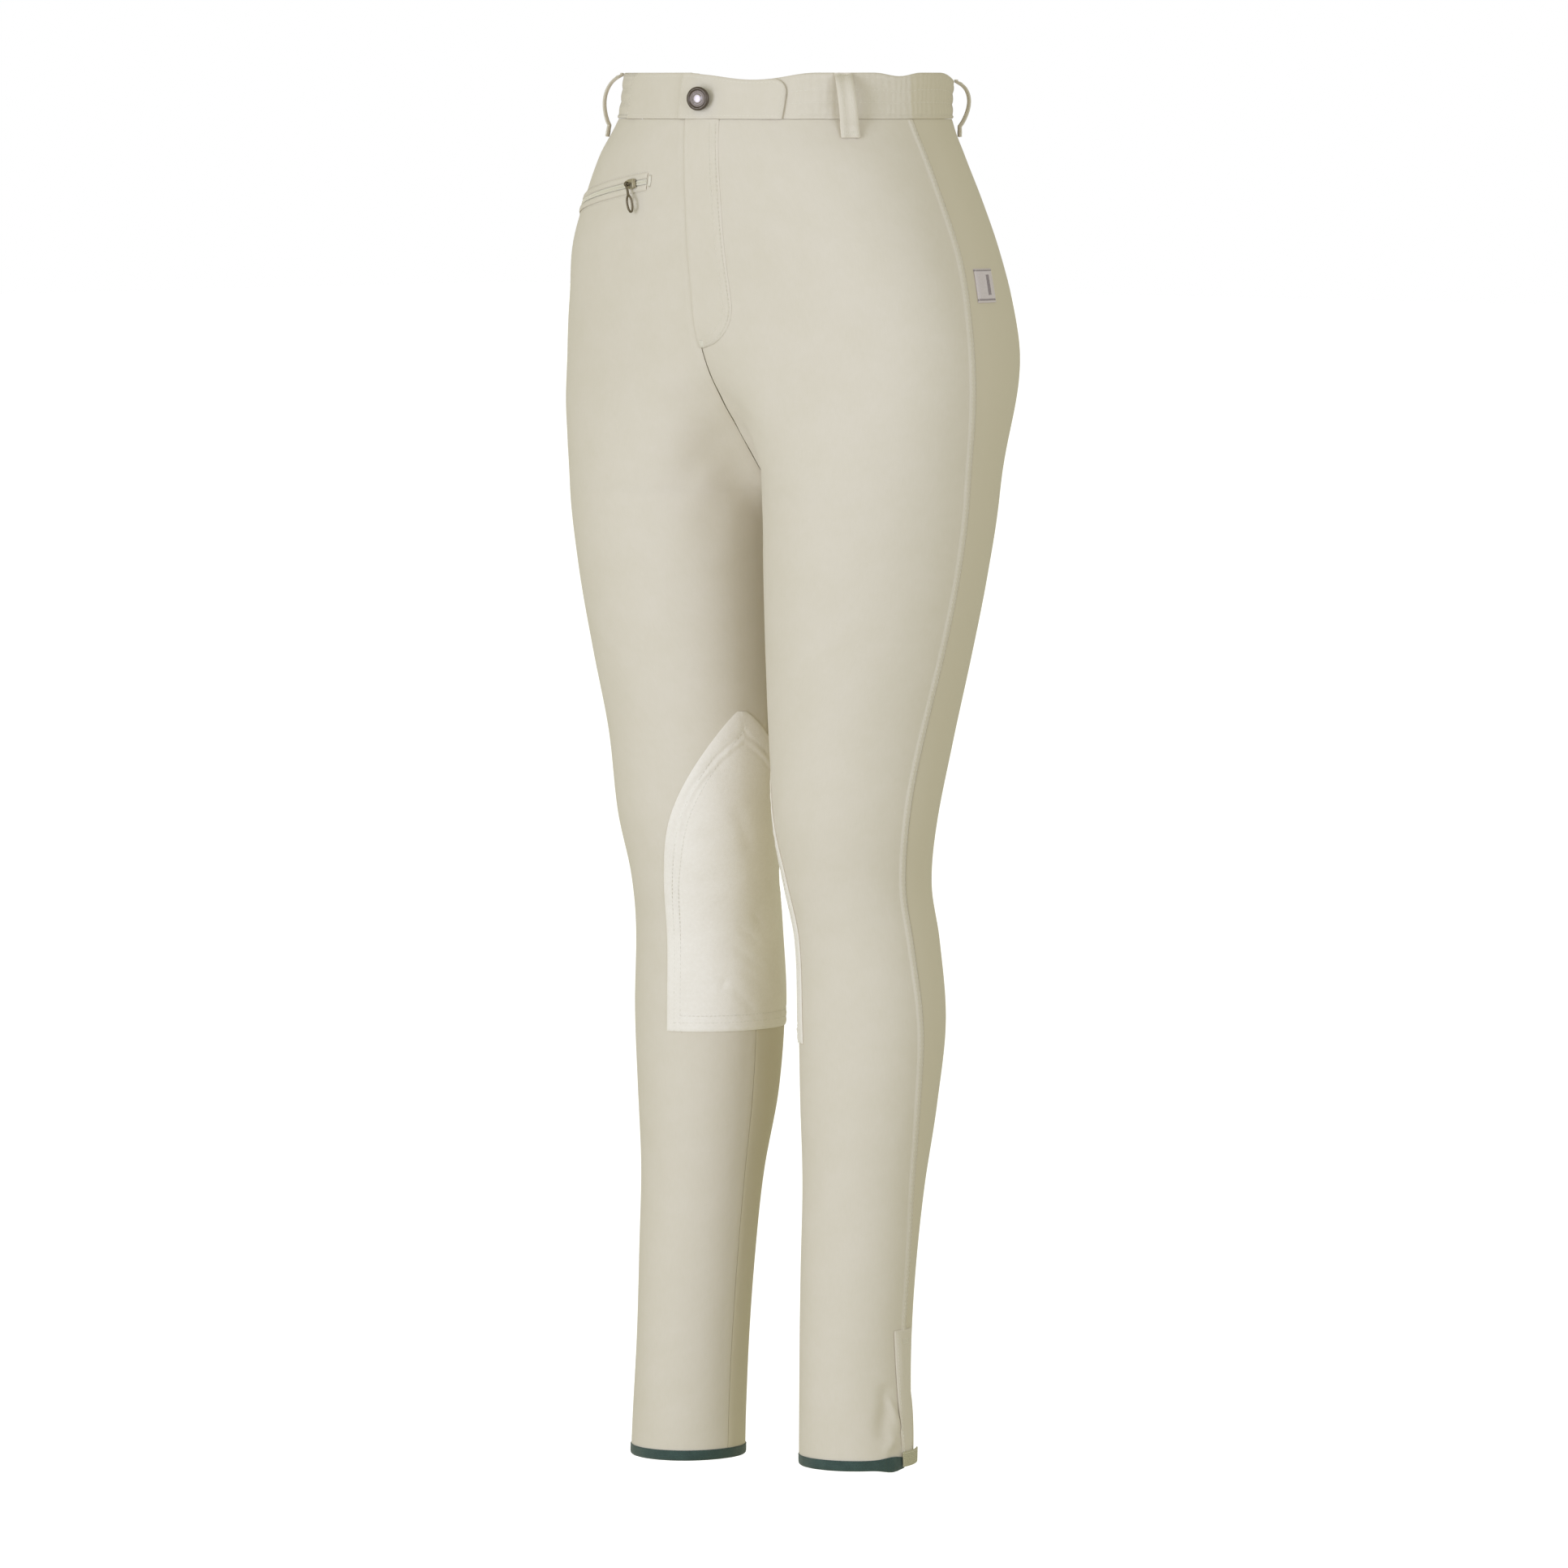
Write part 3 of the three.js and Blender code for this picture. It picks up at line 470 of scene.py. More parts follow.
def lay_cloth(name, place, across, down, lift, cloth, smooth_angle=50):
    """A grid laid as cloth: place(across, down, lift) gives its points in millimetres."""
    rows, count = across.shape
    bpy.ops.mesh.primitive_grid_add(x_subdivisions=count - 1, y_subdivisions=rows - 1, size=2)
    piece = bpy.context.object
    piece.name = name
    data = piece.data
    data.name = name
    start = np.empty(len(data.vertices) * 3)
    data.vertices.foreach_get("co", start)
    start = start.reshape(-1, 3)
    column = np.rint((start[:, 0] + 1) / 2 * (count - 1)).astype(int)
    row = np.rint((1 - start[:, 1]) / 2 * (rows - 1)).astype(int)
    points = place(across, down, lift)
    data.vertices.foreach_set("co", (points[row, column] * MM).ravel())

    # The cloth's own width and length, in metres, for its weave.
    span = np.linalg.norm(np.diff(points, axis=1), axis=-1).cumsum(axis=1)
    fall = np.linalg.norm(np.diff(points, axis=0), axis=-1).cumsum(axis=0)
    width = np.pad(span, ((0, 0), (1, 0))) * MM
    length = np.pad(fall, ((1, 0), (0, 0))) * MM
    corner = np.empty(len(data.loops), int)
    data.loops.foreach_get("vertex_index", corner)
    grain = np.stack([width[row, column], length[row, column]], axis=-1)[corner]
    data.uv_layers[0].data.foreach_set("uv", grain.ravel())
    data.update()

    middle = data.polygons[len(data.polygons) // 2]
    first = middle.vertices[0]
    outward = place(across, down, lift + 1)[row[first], column[first]] - points[row[first], column[first]]
    if Vector(outward).dot(middle.normal) < 0:
        data.flip_normals()
    wall = piece.modifiers.new("wall", "SOLIDIFY")
    wall.thickness = cloth * MM
    wall.offset = -1
    bpy.ops.object.modifier_apply(modifier="wall")
    bpy.ops.object.shade_smooth_by_angle(angle=math.radians(smooth_angle))
    return piece


# One stitch, modelled once as a small rounded bar of thread and copied along every sewn line.
STITCH_LONG = 2.3
STITCH_PITCH = 3.1
STITCH_THICK = 0.42
bpy.ops.mesh.primitive_uv_sphere_add(segments=6, ring_count=4, radius=0.5)
stitch = bpy.context.object
bpy.ops.object.mode_set(mode="EDIT")
bpy.ops.mesh.select_all(action="SELECT")
bpy.ops.transform.rotate(value=math.pi / 2, orient_axis="Y", center_override=(0, 0, 0))
bpy.ops.object.mode_set(mode="OBJECT")
stitch_points = np.array([v.co for v in stitch.data.vertices])
stitch_faces = [list(face.vertices) for face in stitch.data.polygons]
bpy.data.objects.remove(stitch)


def sewn_line(path, pitch=STITCH_PITCH, long=STITCH_LONG, thick=STITCH_THICK, samples=400):
    """The points of stitches laid along path(t, lift), t from 0 to 1."""
    t = np.linspace(0, 1, samples)
    line = path(t, 0.0)
    run = np.concatenate([[0], np.linalg.norm(np.diff(line, axis=0), axis=1).cumsum()])
    count = max(int(run[-1] // pitch), 1)
    middles = np.interp((np.arange(count) + 0.5) * run[-1] / count, run, t)
    half = pitch / 2 / max(run[-1], 1e-6)
    centre = path(middles, 0.0)
    along = path(np.minimum(middles + half, 1), 0.0) - path(np.maximum(middles - half, 0), 0.0)
    out = path(middles, 1.0) - centre
    along /= np.linalg.norm(along, axis=1, keepdims=True)
    out -= along * (out * along).sum(axis=1, keepdims=True)
    out /= np.linalg.norm(out, axis=1, keepdims=True)
    aside = np.cross(out, along)
    size = np.array([long, thick, thick])
    shaped = stitch_points * size
    axes = np.stack([along, aside, out], axis=1)
    return centre[:, None, :] + shaped @ axes


def sew(name, lines, material, body="garment"):
    """One joined piece of all the stitches on these lines."""
    points = np.concatenate([line.reshape(-1, 3) for line in lines]) * MM
    each = len(stitch_points)
    faces = []
    for start in range(0, len(points), each):
        faces += [[start + corner for corner in face] for face in stitch_faces]
    data = bpy.data.meshes.new(name)
    data.from_pydata(points.tolist(), [], faces)
    data.polygons.foreach_set("use_smooth", [True] * len(faces))
    data.materials.append(material)
    piece = bpy.data.objects.new(name, data)
    bpy.context.scene.collection.objects.link(piece)
    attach(piece, body)
    return piece


CLOTH_COLOUR = (222, 213, 199)
CLOTH_COLOUR_LOW = (215, 206, 188)
# The backs' colour is painted shade: darker and more olive than the fronts, for the sides turned from the
# lights.
CLOTH_BACK_SHADED = (212, 202, 180)
WALE = 2 * math.pi / 0.00062
PICK = 2 * math.pi / 0.00048


def twill_colour(light, low, back):
    def base(graph):
        grain = graph.add("ShaderNodeUVMap", {"uv_map": "UVMap"}, {})
        broad = graph.noise(grain, 34.0, 3.0)
        slub = graph.noise(graph.stretched(grain, 1500.0, 130.0), 1.0, 2.0)
        worn = graph.noise(grain, 190.0, 2.0)
        share = (broad * 0.9 + slub * 0.55 + worn * 0.35 - 0.45).clamped()
        plain = graph.mix(share, screen_colour(*low), screen_colour(*light))
        # Where the backs' attribute is set, the darker back colour is mixed in as painted shade.
        back_shade = graph.add("ShaderNodeAttribute", {"attribute_name": "back_shade"}, {}, output="Fac")
        return graph.mix(back_shade, plain, screen_colour(*back))
    return base


def twill_relief(graph):
    grain = graph.add("ShaderNodeUVMap", {"uv_map": "UVMap"}, {})
    across = graph.add("ShaderNodeSeparateXYZ", {}, {0: grain}, output="X")
    along = graph.add("ShaderNodeSeparateXYZ", {}, {0: grain}, output="Y")
    wales = (across * WALE + along * (WALE * 0.42)).sine()
    picks = (along * PICK - across * (PICK * 0.15)).sine()
    fuzz = graph.noise(grain, 1400.0, 2.0)
    return wales * 0.5 + picks * 0.3 + fuzz * 1.2


breeches_cloth = finish(
    "breeches_cloth", twill_colour(CLOTH_COLOUR, CLOTH_COLOUR_LOW, CLOTH_BACK_SHADED), 0.86,
    twill_relief, 0.00005, Sheen_Weight=0.18, Sheen_Roughness=0.55, Specular_IOR_Level=0.3)
thread = finish("thread", lambda graph: screen_colour(226, 220, 205), 0.7, Sheen_Weight=0.2)

FELL_WIDTH = 4.6
FELL_STEP = 0.9
FELL_RISE = 0.75
PANEL_COLUMNS = 68


def panel_foot(side):
    return BINDING_HEIGHT + SEAM_GAP - HEM[side]


def panel_rows(side):
    foot = panel_foot(side)
    return np.unique(np.concatenate([
        -BAND_HEIGHT - SEAM_GAP - np.array([0, 0.4, 1.0, 2.0, 3.4]),
        np.arange(-40, -200, -3.6),
        np.arange(-200, -345, -2.0),
        np.arange(-345, -900, -3.6),
        np.arange(-900, foot + 5, -2.4),
        foot + np.array([0, 1.5, 3.5]),
    ]))[::-1]


def panel_edges(z, back):
    """The turn where a panel starts at the side seam, and its width round to its other seam."""
    sign = -1 if back else 1
    degrees = 1 / np.radians(read(LEG, "out", z))
    start = sign * read(SIDE_SEAM, "turn", z) + SEAM_GAP / 2 * degrees
    end = np.minimum(turn_at(SEAM_GAP / 2, z, back), 180 - SEAM_GAP / 2 * degrees)
    return start, (end - start) / degrees


def panel_piece(name, side, back):
    sign = -1 if back else 1
    rows = panel_rows(side)
    start, width = panel_edges(rows, back)
    edges = (0, 0.3, 0.8, 1.6, 2.8, 4.0, 4.7, 5.4, 6.2) if not back else (0, 0.3, 0.8, 1.6, 2.8, 4.4)
    across = spaced(width, PANEL_COLUMNS, edges)
    down = rows[:, None] + 0 * across

    def place(distance, z, lift):
        turn = sign * (start[:, None] + distance / np.radians(read(LEG, "out", z)))
        plain = np.clip((z + 360) / 60, 0.25, 1)
        rise = edge_roll(distance, 0.9, 0.6) + plain * edge_roll(width[:, None] - distance, 0.7, 0.9)
        rise = rise + plain * 0.35 * np.exp(-(((width[:, None] - distance - 4) / 2.6) ** 2))
        rise = rise + edge_roll(rows[0] - z, 0.5, 1.4)
        if not back:
            step = np.clip((distance - FELL_WIDTH) / FELL_STEP, 0, 1)
            rise = rise + FELL_RISE * (1 - step * step * (3 - 2 * step))
        point = on_cloth(side, turn, z, lift + rise)
        point[0, :, 2] = rows[0]
        point[-1, :, 2] = rows[-1]
        return point

    return lay_cloth(name, place, across, down, 0.0, PANEL_CLOTH)


for side_name, side in (("left", 1), ("right", -1)):
    for kind in ("front", "back"):
        panel = panel_piece(f"cloth_{kind}_{side_name}", side, kind == "back")
        panel.data.materials.append(breeches_cloth)
        # The back panels carry the attribute for their painted shade.
        if kind == "back":
            back_shade = panel.data.attributes.new("back_shade", "FLOAT", "POINT")
            back_shade.data.foreach_set("value", np.ones(len(panel.data.vertices)))
        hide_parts(f"{kind}_{side_name}")
        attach(panel, "garment")


def fell_path(side, distance):
    """A line down the side seam's ridge, this far in front of the seam."""
    def path(t, lift):
        z = -BAND_HEIGHT - 3 + t * (BAND_HEIGHT + 3 + panel_foot(side) + 2)
        turn = read(SIDE_SEAM, "turn", z) + distance / np.radians(read(LEG, "out", z))
        return on_cloth(side, turn, z, lift + FELL_RISE + 0.02)
    return path


sew("stitches_side_seams",
    [sewn_line(fell_path(side, distance)) for side in (1, -1) for distance in (1.2, 3.8)], thread)


# Waistband
# A folded band of the same twill. Two plain stretches lie in front, the left one lapping the right,
# and an elasticated one goes round the sides and the back, sewn through in four rows.
BAND_CLOTH = 2.0
BAND_PROUD = 0.5
BAND_LAP = 8
BAND_UNDERLAP = 6
LAP_RISE = 2.7
LAP_EASE = 16
FRONT_BAND_TURN = 81
FRONT_BAND_CORNER = 13
BAND_OVER_ELASTIC = 0.9
BAND_DIPS = ((95, 30, 5), (20, 15, 2.5))
BACK_DROP = 5
ELASTIC_LENGTH = 590
ELASTIC_TUCKED = 12
ELASTIC_ROWS = (3.4, 12.2, 21.2, 29.8)
PUCKER = 5.2
PUCKER_DEPTH = 0.5


def smooth(value, start, end):
    t = np.clip((value - start) / (end - start), 0, 1)
    return t * t * (3 - 2 * t)


def band_point(side, turn, share, lift):
    """A point of the band, share of the way down it. Its walls stay upright."""
    top = 0 * turn
    for middle, half, deep in BAND_DIPS:
        away = np.minimum(np.abs(turn - middle) / half, 1)
        top = top - deep * (1 + np.cos(away * math.pi)) / 2
    top = np.where(side > 0, top, 0) - BACK_DROP * smooth(-turn, 12, 42)
    z = top - (BAND_HEIGHT + top) * share
    out = skin_normal(turn, z)
    out[..., 2] = 0
    out = out / np.linalg.norm(out, axis=-1, keepdims=True)
    point = skin(turn, z) + out * np.asarray(lift)[..., None]
    point[..., 0] *= side
    return point


def front_band_point(x, share, lift):
    side = np.where(x < 0, -1, 1)
    return band_point(side, turn_at(np.abs(x), -BAND_HEIGHT * share), share, lift + 0 * x)


band_end = skin(FRONT_BAND_TURN, -BAND_HEIGHT / 2)[0] - SEAM_GAP


def front_band(side_name):
    """A plain front stretch and its sewn lines, from its lap or underlap to its rounded corner."""
    side = 1 if side_name == "left" else -1
    begin = -BAND_LAP if side > 0 else -BAND_UNDERLAP

    def place(x, down, lift):
        corner = np.maximum(x - (band_end - FRONT_BAND_CORNER), 0)
        drop = FRONT_BAND_CORNER - np.sqrt(np.maximum(FRONT_BAND_CORNER ** 2 - corner ** 2, 0))
        share = (drop + down * (1 - drop / BAND_HEIGHT)) / BAND_HEIGHT
        rise = edge_roll(down, 0.9, 0.7) + edge_roll(BAND_HEIGHT - down, 0.45, 0.9)
        rise = rise + edge_roll(x - begin, 0.8, 0.7) + edge_roll(band_end - x, 0.7, 0.7)
        for row in (2.6, BAND_HEIGHT - 2.6):
            rise = rise - 0.22 * np.exp(-(((down - row) / 0.8) ** 2))
        rise = rise + BAND_OVER_ELASTIC * smooth(x, band_end - 26, band_end - 8)
        if side > 0:
            rise = rise + LAP_RISE * (1 - smooth(x, BAND_UNDERLAP + 1, BAND_UNDERLAP + LAP_EASE))
        return front_band_point(x * side, share, BAND_PROUD + rise + lift)

    def line(x_of, down_of):
        return lambda t, lift: place(x_of(t), down_of(t), lift)

    across = spaced([band_end - begin] * 21, 56) + begin
    down = (spaced([BAND_HEIGHT], 15) + np.zeros((across.shape[1], 1))).T
    across = np.repeat(across[:1], down.shape[0], axis=0)
    piece = lay_cloth(f"band_front_{side_name}", place, across, down, 0.0, BAND_CLOTH)
    long = band_end - begin - 5
    rows = [line(lambda t: begin + 2.5 + long * t, lambda t, d=d: d + 0 * t)
            for d in (2.6, BAND_HEIGHT - 2.6)]
    ends = [line(lambda t, x=x: x + 0 * t, lambda t: 3.5 + (BAND_HEIGHT - 7) * t)
            for x in (begin + 2.2, band_end - 2.4)]
    return piece, [sewn_line(path) for path in rows + ends]


def elastic_place(u, down, lift):
    """The elasticated stretch: u from the left front join round the back to the right one."""
    side = np.where(u < 0.5, 1, -1)
    along = 1 - np.abs(2 * u - 1)
    share = down / BAND_HEIGHT
    start = turn_at(band_end - ELASTIC_TUCKED + 0 * u, -down)
    end = -turn_at(0 * u, -down, True)
    turn = start + (end - start) * along
    run = along * ELASTIC_LENGTH / 2
    rise = edge_roll(down, 0.8, 0.7) + edge_roll(BAND_HEIGHT - down, 0.5, 0.6)
    rise = rise - 1.4 * (1 - smooth(run, ELASTIC_TUCKED - 1, ELASTIC_TUCKED + 7))
    between = np.zeros_like(down + 0.0)
    for above, below in zip((0.0,) + ELASTIC_ROWS, ELASTIC_ROWS + (BAND_HEIGHT,)):
        t = np.clip((down - above) / (below - above), 0, 1)
        between = np.maximum(between, 4 * t * (1 - t))
    phase = 2 * math.pi * run / PUCKER
    wave = np.sin(phase + 1.1 * np.sin(phase * 0.21 + down * 0.11) + side)
    wave = wave * (0.75 + 0.25 * np.sin(phase * 0.37 + down * 0.3))
    gathered = smooth(run, ELASTIC_TUCKED + 2, ELASTIC_TUCKED + 14)
    rise = rise + gathered * PUCKER_DEPTH * (wave * (0.1 + 0.3 * between) + 1.3 * between - 0.7)
    return band_point(side, turn, share, BAND_PROUD + rise + lift)


band_lines = []
for side_name in ("left", "right"):
    band, lines = front_band(side_name)
    band_lines += lines
    band.data.materials.append(breeches_cloth)
    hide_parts(f"waistband_front_{side_name}")
    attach(band, "garment")

stops = np.linspace(0, 1, 521)
down = (spaced([BAND_HEIGHT], 19) + np.zeros((len(stops), 1))).T
elastic = lay_cloth("band_elastic", elastic_place, np.tile(stops, (down.shape[0], 1)), down, 0.0, BAND_CLOTH)
elastic.data.materials.append(breeches_cloth)
places = np.array([v.co for v in elastic.data.vertices])
round_side = np.degrees(np.arctan2(-places[:, 1] * 1000, np.abs(places[:, 0]) * 1000 - 60))
# Beyond the side seam the elastic stretch takes the backs' painted shade.
back_shade = elastic.data.attributes.new("back_shade", "FLOAT", "POINT")
back_shade.data.foreach_set("value", 1 - smooth(round_side, 12.5, 13.5))
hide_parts("waistband_elastic")
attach(elastic, "garment")
for row in ELASTIC_ROWS:
    reach = (ELASTIC_TUCKED + 1.5) / ELASTIC_LENGTH
    band_lines.append(sewn_line(
        lambda t, lift, row=row: elastic_place(reach + (1 - 2 * reach) * t, row + 0 * t, lift), pitch=3.3))
sew("stitches_band", band_lines, thread)


# Fly
# The left front's edge laps the right over the zip. It is held by two curved rows of stitches, and
# a bar tack at its foot.
FLY_OVER = 2
FLY_WIDTH_TOP = 29
FLY_WIDTH_LOW = 36
FLY_CURVE_TOP = 165
FLY_FOOT = 197
FLY_CLOTH = 1.0
FLY_STRAIGHT = 0.6
FLY_TOP = -(BAND_HEIGHT + SEAM_GAP)


def on_front(x, z, lift):
    """A point on the fronts by its distance from the middle line, plus to the wearer's left."""
    x, z = np.broadcast_arrays(np.asarray(x, float), np.asarray(z, float))
    turn = turn_at(np.abs(x), z)
    left = on_cloth(1, turn, z, lift)
    right = on_cloth(-1, turn, z, lift)
    return np.where((x < 0)[..., None], right, left)


def fly_outline(v):
    """The height, width and overlap of the fly this share of the way down it."""
    angle = np.clip((v - FLY_STRAIGHT) / (1 - FLY_STRAIGHT), 0, 1) * math.radians(84)
    t = np.clip(v / FLY_STRAIGHT, 0, 1)
    z = FLY_TOP + (-FLY_CURVE_TOP - FLY_TOP) * t - (FLY_FOOT - FLY_CURVE_TOP) * np.sin(angle)
    width = (FLY_WIDTH_TOP + (FLY_WIDTH_LOW - FLY_WIDTH_TOP) * t) * np.cos(angle)
    return z, width, FLY_OVER * np.cos(angle), angle


def fly_place(u, v, lift):
    z, width, over, _ = fly_outline(v)
    x = -over + (width + over) * u
    away = (1 - u) * (width + over)
    rise = edge_roll(away, 1.15, 1.1) + edge_roll(u * (width + over), 0.5, 0.7)
    for row in (2.0, 7.5):
        rise = rise - 0.16 * np.exp(-(((away - row) / 0.7) ** 2))
    return on_front(np.where(np.abs(x) < 0.01, 0.01, x), z, LIFT + FLY_CLOTH + rise + lift)


def fly_row(inside):
    """A curved row of stitches this far inside the fly's outer edge."""
    def path(t, lift):
        v = 0.01 + 0.97 * t
        z, width, _, angle = fly_outline(v)
        x = np.maximum(width - inside * np.cos(angle), 0.3)
        return on_front(x, z + inside * np.sin(angle), LIFT + FLY_CLOTH + lift)
    return path


def bar_tack(place, count, long, thick=0.55):
    """Close stitches side by side: place(t, aside, lift) gives their middles and ends."""
    bars = []
    for t in np.linspace(0, 1, count):
        bars.append(sewn_line(lambda s, lift, t=t: place(t, (s - 0.5) * long, lift), long, long, thick, 3))
    return bars


u, v = np.meshgrid(spaced([36], 18)[0] / 36, np.linspace(0, 1, 110))
fly = lay_cloth("fly_lap_cloth", fly_place, u, v, 0.0, FLY_CLOTH)
fly.data.materials.append(breeches_cloth)
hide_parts("fly_lap")
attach(fly, "garment")
fly_tack = bar_tack(lambda t, aside, lift: on_front(1.5 + 3 * t + 0 * aside, -FLY_FOOT + 3 + aside,
                                                    LIFT + FLY_CLOTH + lift), 7, 6.5)
sew("stitches_fly", [sewn_line(fly_row(2.0)), sewn_line(fly_row(7.5))] + fly_tack, thread)


# Belt loops
# Narrow folded straps with two sewn ridges and a hollow between them, held at the top and the foot
# by a bar tack and standing off the band between.
LOOP_WIDTH = 13.5
LOOP_LENGTH = 46
LOOP_CLOTH = 2.0
LOOP_STAND = 8
LOOP_TOP_TACK = 1.5
LOOP_FOOT_TACK = 8
LOOPS = (
    # name, side, turn
    ("front_left", 1, 52), ("front_right", -1, 52),
    ("back_left", 1, -46), ("back_right", -1, -46), ("centre_back", 1, None),
)


def loop_point(side, turn, across, down, lift):
    """A point of a loop, which bows out from a straight line between its two tacked ends."""
    ends = []
    facing = []
    for z in (0.0, -float(LOOP_LENGTH)):
        if turn is None:
            ends.append(np.array([0, read(BODY, "back", z), z]))
            facing.append(np.array([0.0, 1.0, 0.0]))
            continue
        mirror = np.array([side, 1, 1])
        out = skin_normal(turn, z) * np.array([1, 1, 0])
        ends.append(skin(turn, z) * mirror)
        facing.append(out / np.linalg.norm(out) * mirror)
    share = (down / LOOP_LENGTH)[..., None]
    out = facing[0] * (1 - share) + facing[1] * share
    along = np.cross(np.array([0.0, 0.0, 1.0]), out)
    bow = np.clip((down - LOOP_TOP_TACK) / (LOOP_LENGTH - LOOP_TOP_TACK - LOOP_FOOT_TACK), 0, 1)
    stand = LOOP_STAND * np.sin(math.pi * bow ** 0.75) ** 0.8
    stand = stand + BAND_PROUD + 2 * LIFT + LOOP_CLOTH + lift
    point = ends[0] * (1 - share) + ends[1] * share + out * stand[..., None] + along * across[..., None]
    if turn is None or turn < 0:
        point[..., 2] -= BACK_DROP * (1 - share[..., 0])
    return point


def loop_place(side, turn):
    def place(across, down, lift):
        wide = LOOP_WIDTH * (0.94 + 0.1 * down / LOOP_LENGTH) / LOOP_WIDTH
        ridge = 0.42 * np.exp(-(((np.abs(across) - 4.3) / 1.5) ** 2))
        hollow = -0.3 * np.exp(-((across / 1.6) ** 2))
        fold = edge_roll(LOOP_WIDTH / 2 - np.abs(across), 0.7, 0.6)
        tacked = -0.35 * (1 - smooth(np.minimum(down, LOOP_LENGTH - down), 2.5, 6.0))
        return loop_point(side, turn, across * wide, down, ridge + hollow + fold + tacked + lift)
    return place


loop_lines = []
for name, side, turn in LOOPS:
    place = loop_place(side, turn)
    across = spaced([LOOP_WIDTH] * 41, 15, (0, 0.3, 0.8, 1.5)) - LOOP_WIDTH / 2
    down = np.linspace(0, LOOP_LENGTH, 41)[:, None] + 0 * across
    loop = lay_cloth(f"loop_{name}", place, across, down, 0.0, LOOP_CLOTH)
    loop.data.materials.append(breeches_cloth)
    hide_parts(f"belt_loop_{name}")
    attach(loop, "garment")
    for aside in (-2.9, 2.9):
        loop_lines.append(sewn_line(
            lambda t, lift, aside=aside: place(aside + 0 * t, 0.8 + (LOOP_LENGTH - 1.6) * t, lift), 2.7, 2.0))
    for middle in (2.4, LOOP_LENGTH - 3.2):
        loop_lines += bar_tack(
            lambda t, aside, lift, m=middle: place(-5.4 + 10.8 * t + 0 * aside, m + aside, lift), 13, 2.6)
sew("stitches_loops", loop_lines, thread)


# Zip pocket
# Two narrow welts of the twill with a coil zip between them on the right front, a row of stitches
# along each and a bar tack across each end.
ZIP_INNER_TURN = 107.5
ZIP_OUTER_TURN = 40
ZIP_INNER = -78
ZIP_OUTER = -97
WELT_WIDTH = 4.4
WELT_CLOTH = 0.8
ZIP_TAPE_WIDTH = 3.6
ZIP_TAPE_CLOTH = 0.9
ZIP_LENGTH = 142
TOOTH_PITCH = 1.25


def on_zip(share, drop, lift):
    """A place on the zip's line, share of the way outwards and this far below it."""
    turn = ZIP_INNER_TURN + (ZIP_OUTER_TURN - ZIP_INNER_TURN) * share
    return on_cloth(-1, turn, ZIP_INNER + (ZIP_OUTER - ZIP_INNER) * share - drop, lift)


def welt_place(top):
    def place(share, down, lift):
        mid = (down - WELT_WIDTH / 2) / (WELT_WIDTH / 2)
        rise = 0.35 * (1 - mid * mid) + edge_roll(np.minimum(down, WELT_WIDTH - down), 0.5, 0.5)
        rise = rise + edge_roll(np.minimum(share, 1 - share) * ZIP_LENGTH, 0.6, 0.8)
        return on_zip(share, top + down, LIFT + WELT_CLOTH + rise + lift)
    return place


zip_tape = finish(
    "zip_tape", lambda graph: screen_colour(222, 216, 200), 0.8,
    lambda graph: (graph.add("ShaderNodeSeparateXYZ", {}, {
        0: graph.add("ShaderNodeUVMap", {"uv_map": "UVMap"}, {})}) * 9000.0).sine(),
    0.00006, Sheen_Weight=0.15)
zip_coil = finish("zip_coil", lambda graph: screen_colour(228, 222, 204), 0.4, Specular_IOR_Level=0.5)
tape_half = ZIP_TAPE_WIDTH / 2
pocket_lines = []
for name, top in (("upper", -tape_half - SEAM_GAP - WELT_WIDTH), ("lower", tape_half + SEAM_GAP)):
    place = welt_place(top)
    share, down = np.meshgrid(
        spaced([ZIP_LENGTH], 70)[0] / ZIP_LENGTH, spaced([WELT_WIDTH], 6, (0, 0.3, 0.8))[0])
    welt = lay_cloth(f"welt_{name}", place, share, down, 0.0, WELT_CLOTH)
    welt.data.materials.append(breeches_cloth)
    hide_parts(f"pocket_welt_{name}")
    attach(welt, "garment")
    outer = top - 1.1 if name == "upper" else top + WELT_WIDTH + 1.1
    pocket_lines.append(sewn_line(
        lambda t, lift, outer=outer: on_zip(-0.012 + 1.02 * t, outer, 0.12 + lift), 2.8, 2.1))
    near = top + WELT_WIDTH - 1.0 if name == "upper" else top + 1.0
    pocket_lines.append(sewn_line(
        lambda t, lift, near=near: on_zip(0.01 + 0.98 * t, near, LIFT + WELT_CLOTH + 0.25 + lift), 2.8, 2.1))


def tape_place(share, down, lift):
    return on_zip(share, down - tape_half, LIFT + ZIP_TAPE_CLOTH - 0.35 + lift)


share, down = np.meshgrid(np.linspace(0, 1, 90), np.linspace(0, ZIP_TAPE_WIDTH, 7))
tape = lay_cloth("zip_tape_cloth", tape_place, share, down, 0.0, 0.5)
tape.data.materials.append(zip_tape)
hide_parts("zip_tape")
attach(tape, "garment")

coil = []
for half in (-1, 1):
    for count in range(int(ZIP_LENGTH / TOOTH_PITCH)):
        share = (count + 0.25 * half + 0.5) * TOOTH_PITCH / ZIP_LENGTH
        coil.append(sewn_line(
            lambda t, lift, s=share, h=half: on_zip(s + 0 * t, h * (0.1 + 1.0 * t), 0.9 + lift),
            1.0, 1.3, 0.8, 3))
sew("zip_coil", coil, zip_coil)
for share in (-0.02, 1.02):
    pocket_lines += bar_tack(
        lambda t, aside, lift, s=share: on_zip(s + 0 * aside + (t - 0.5) * 0.014, aside, 0.5 + lift), 6, 9.5)
sew("stitches_pocket", pocket_lines, thread)


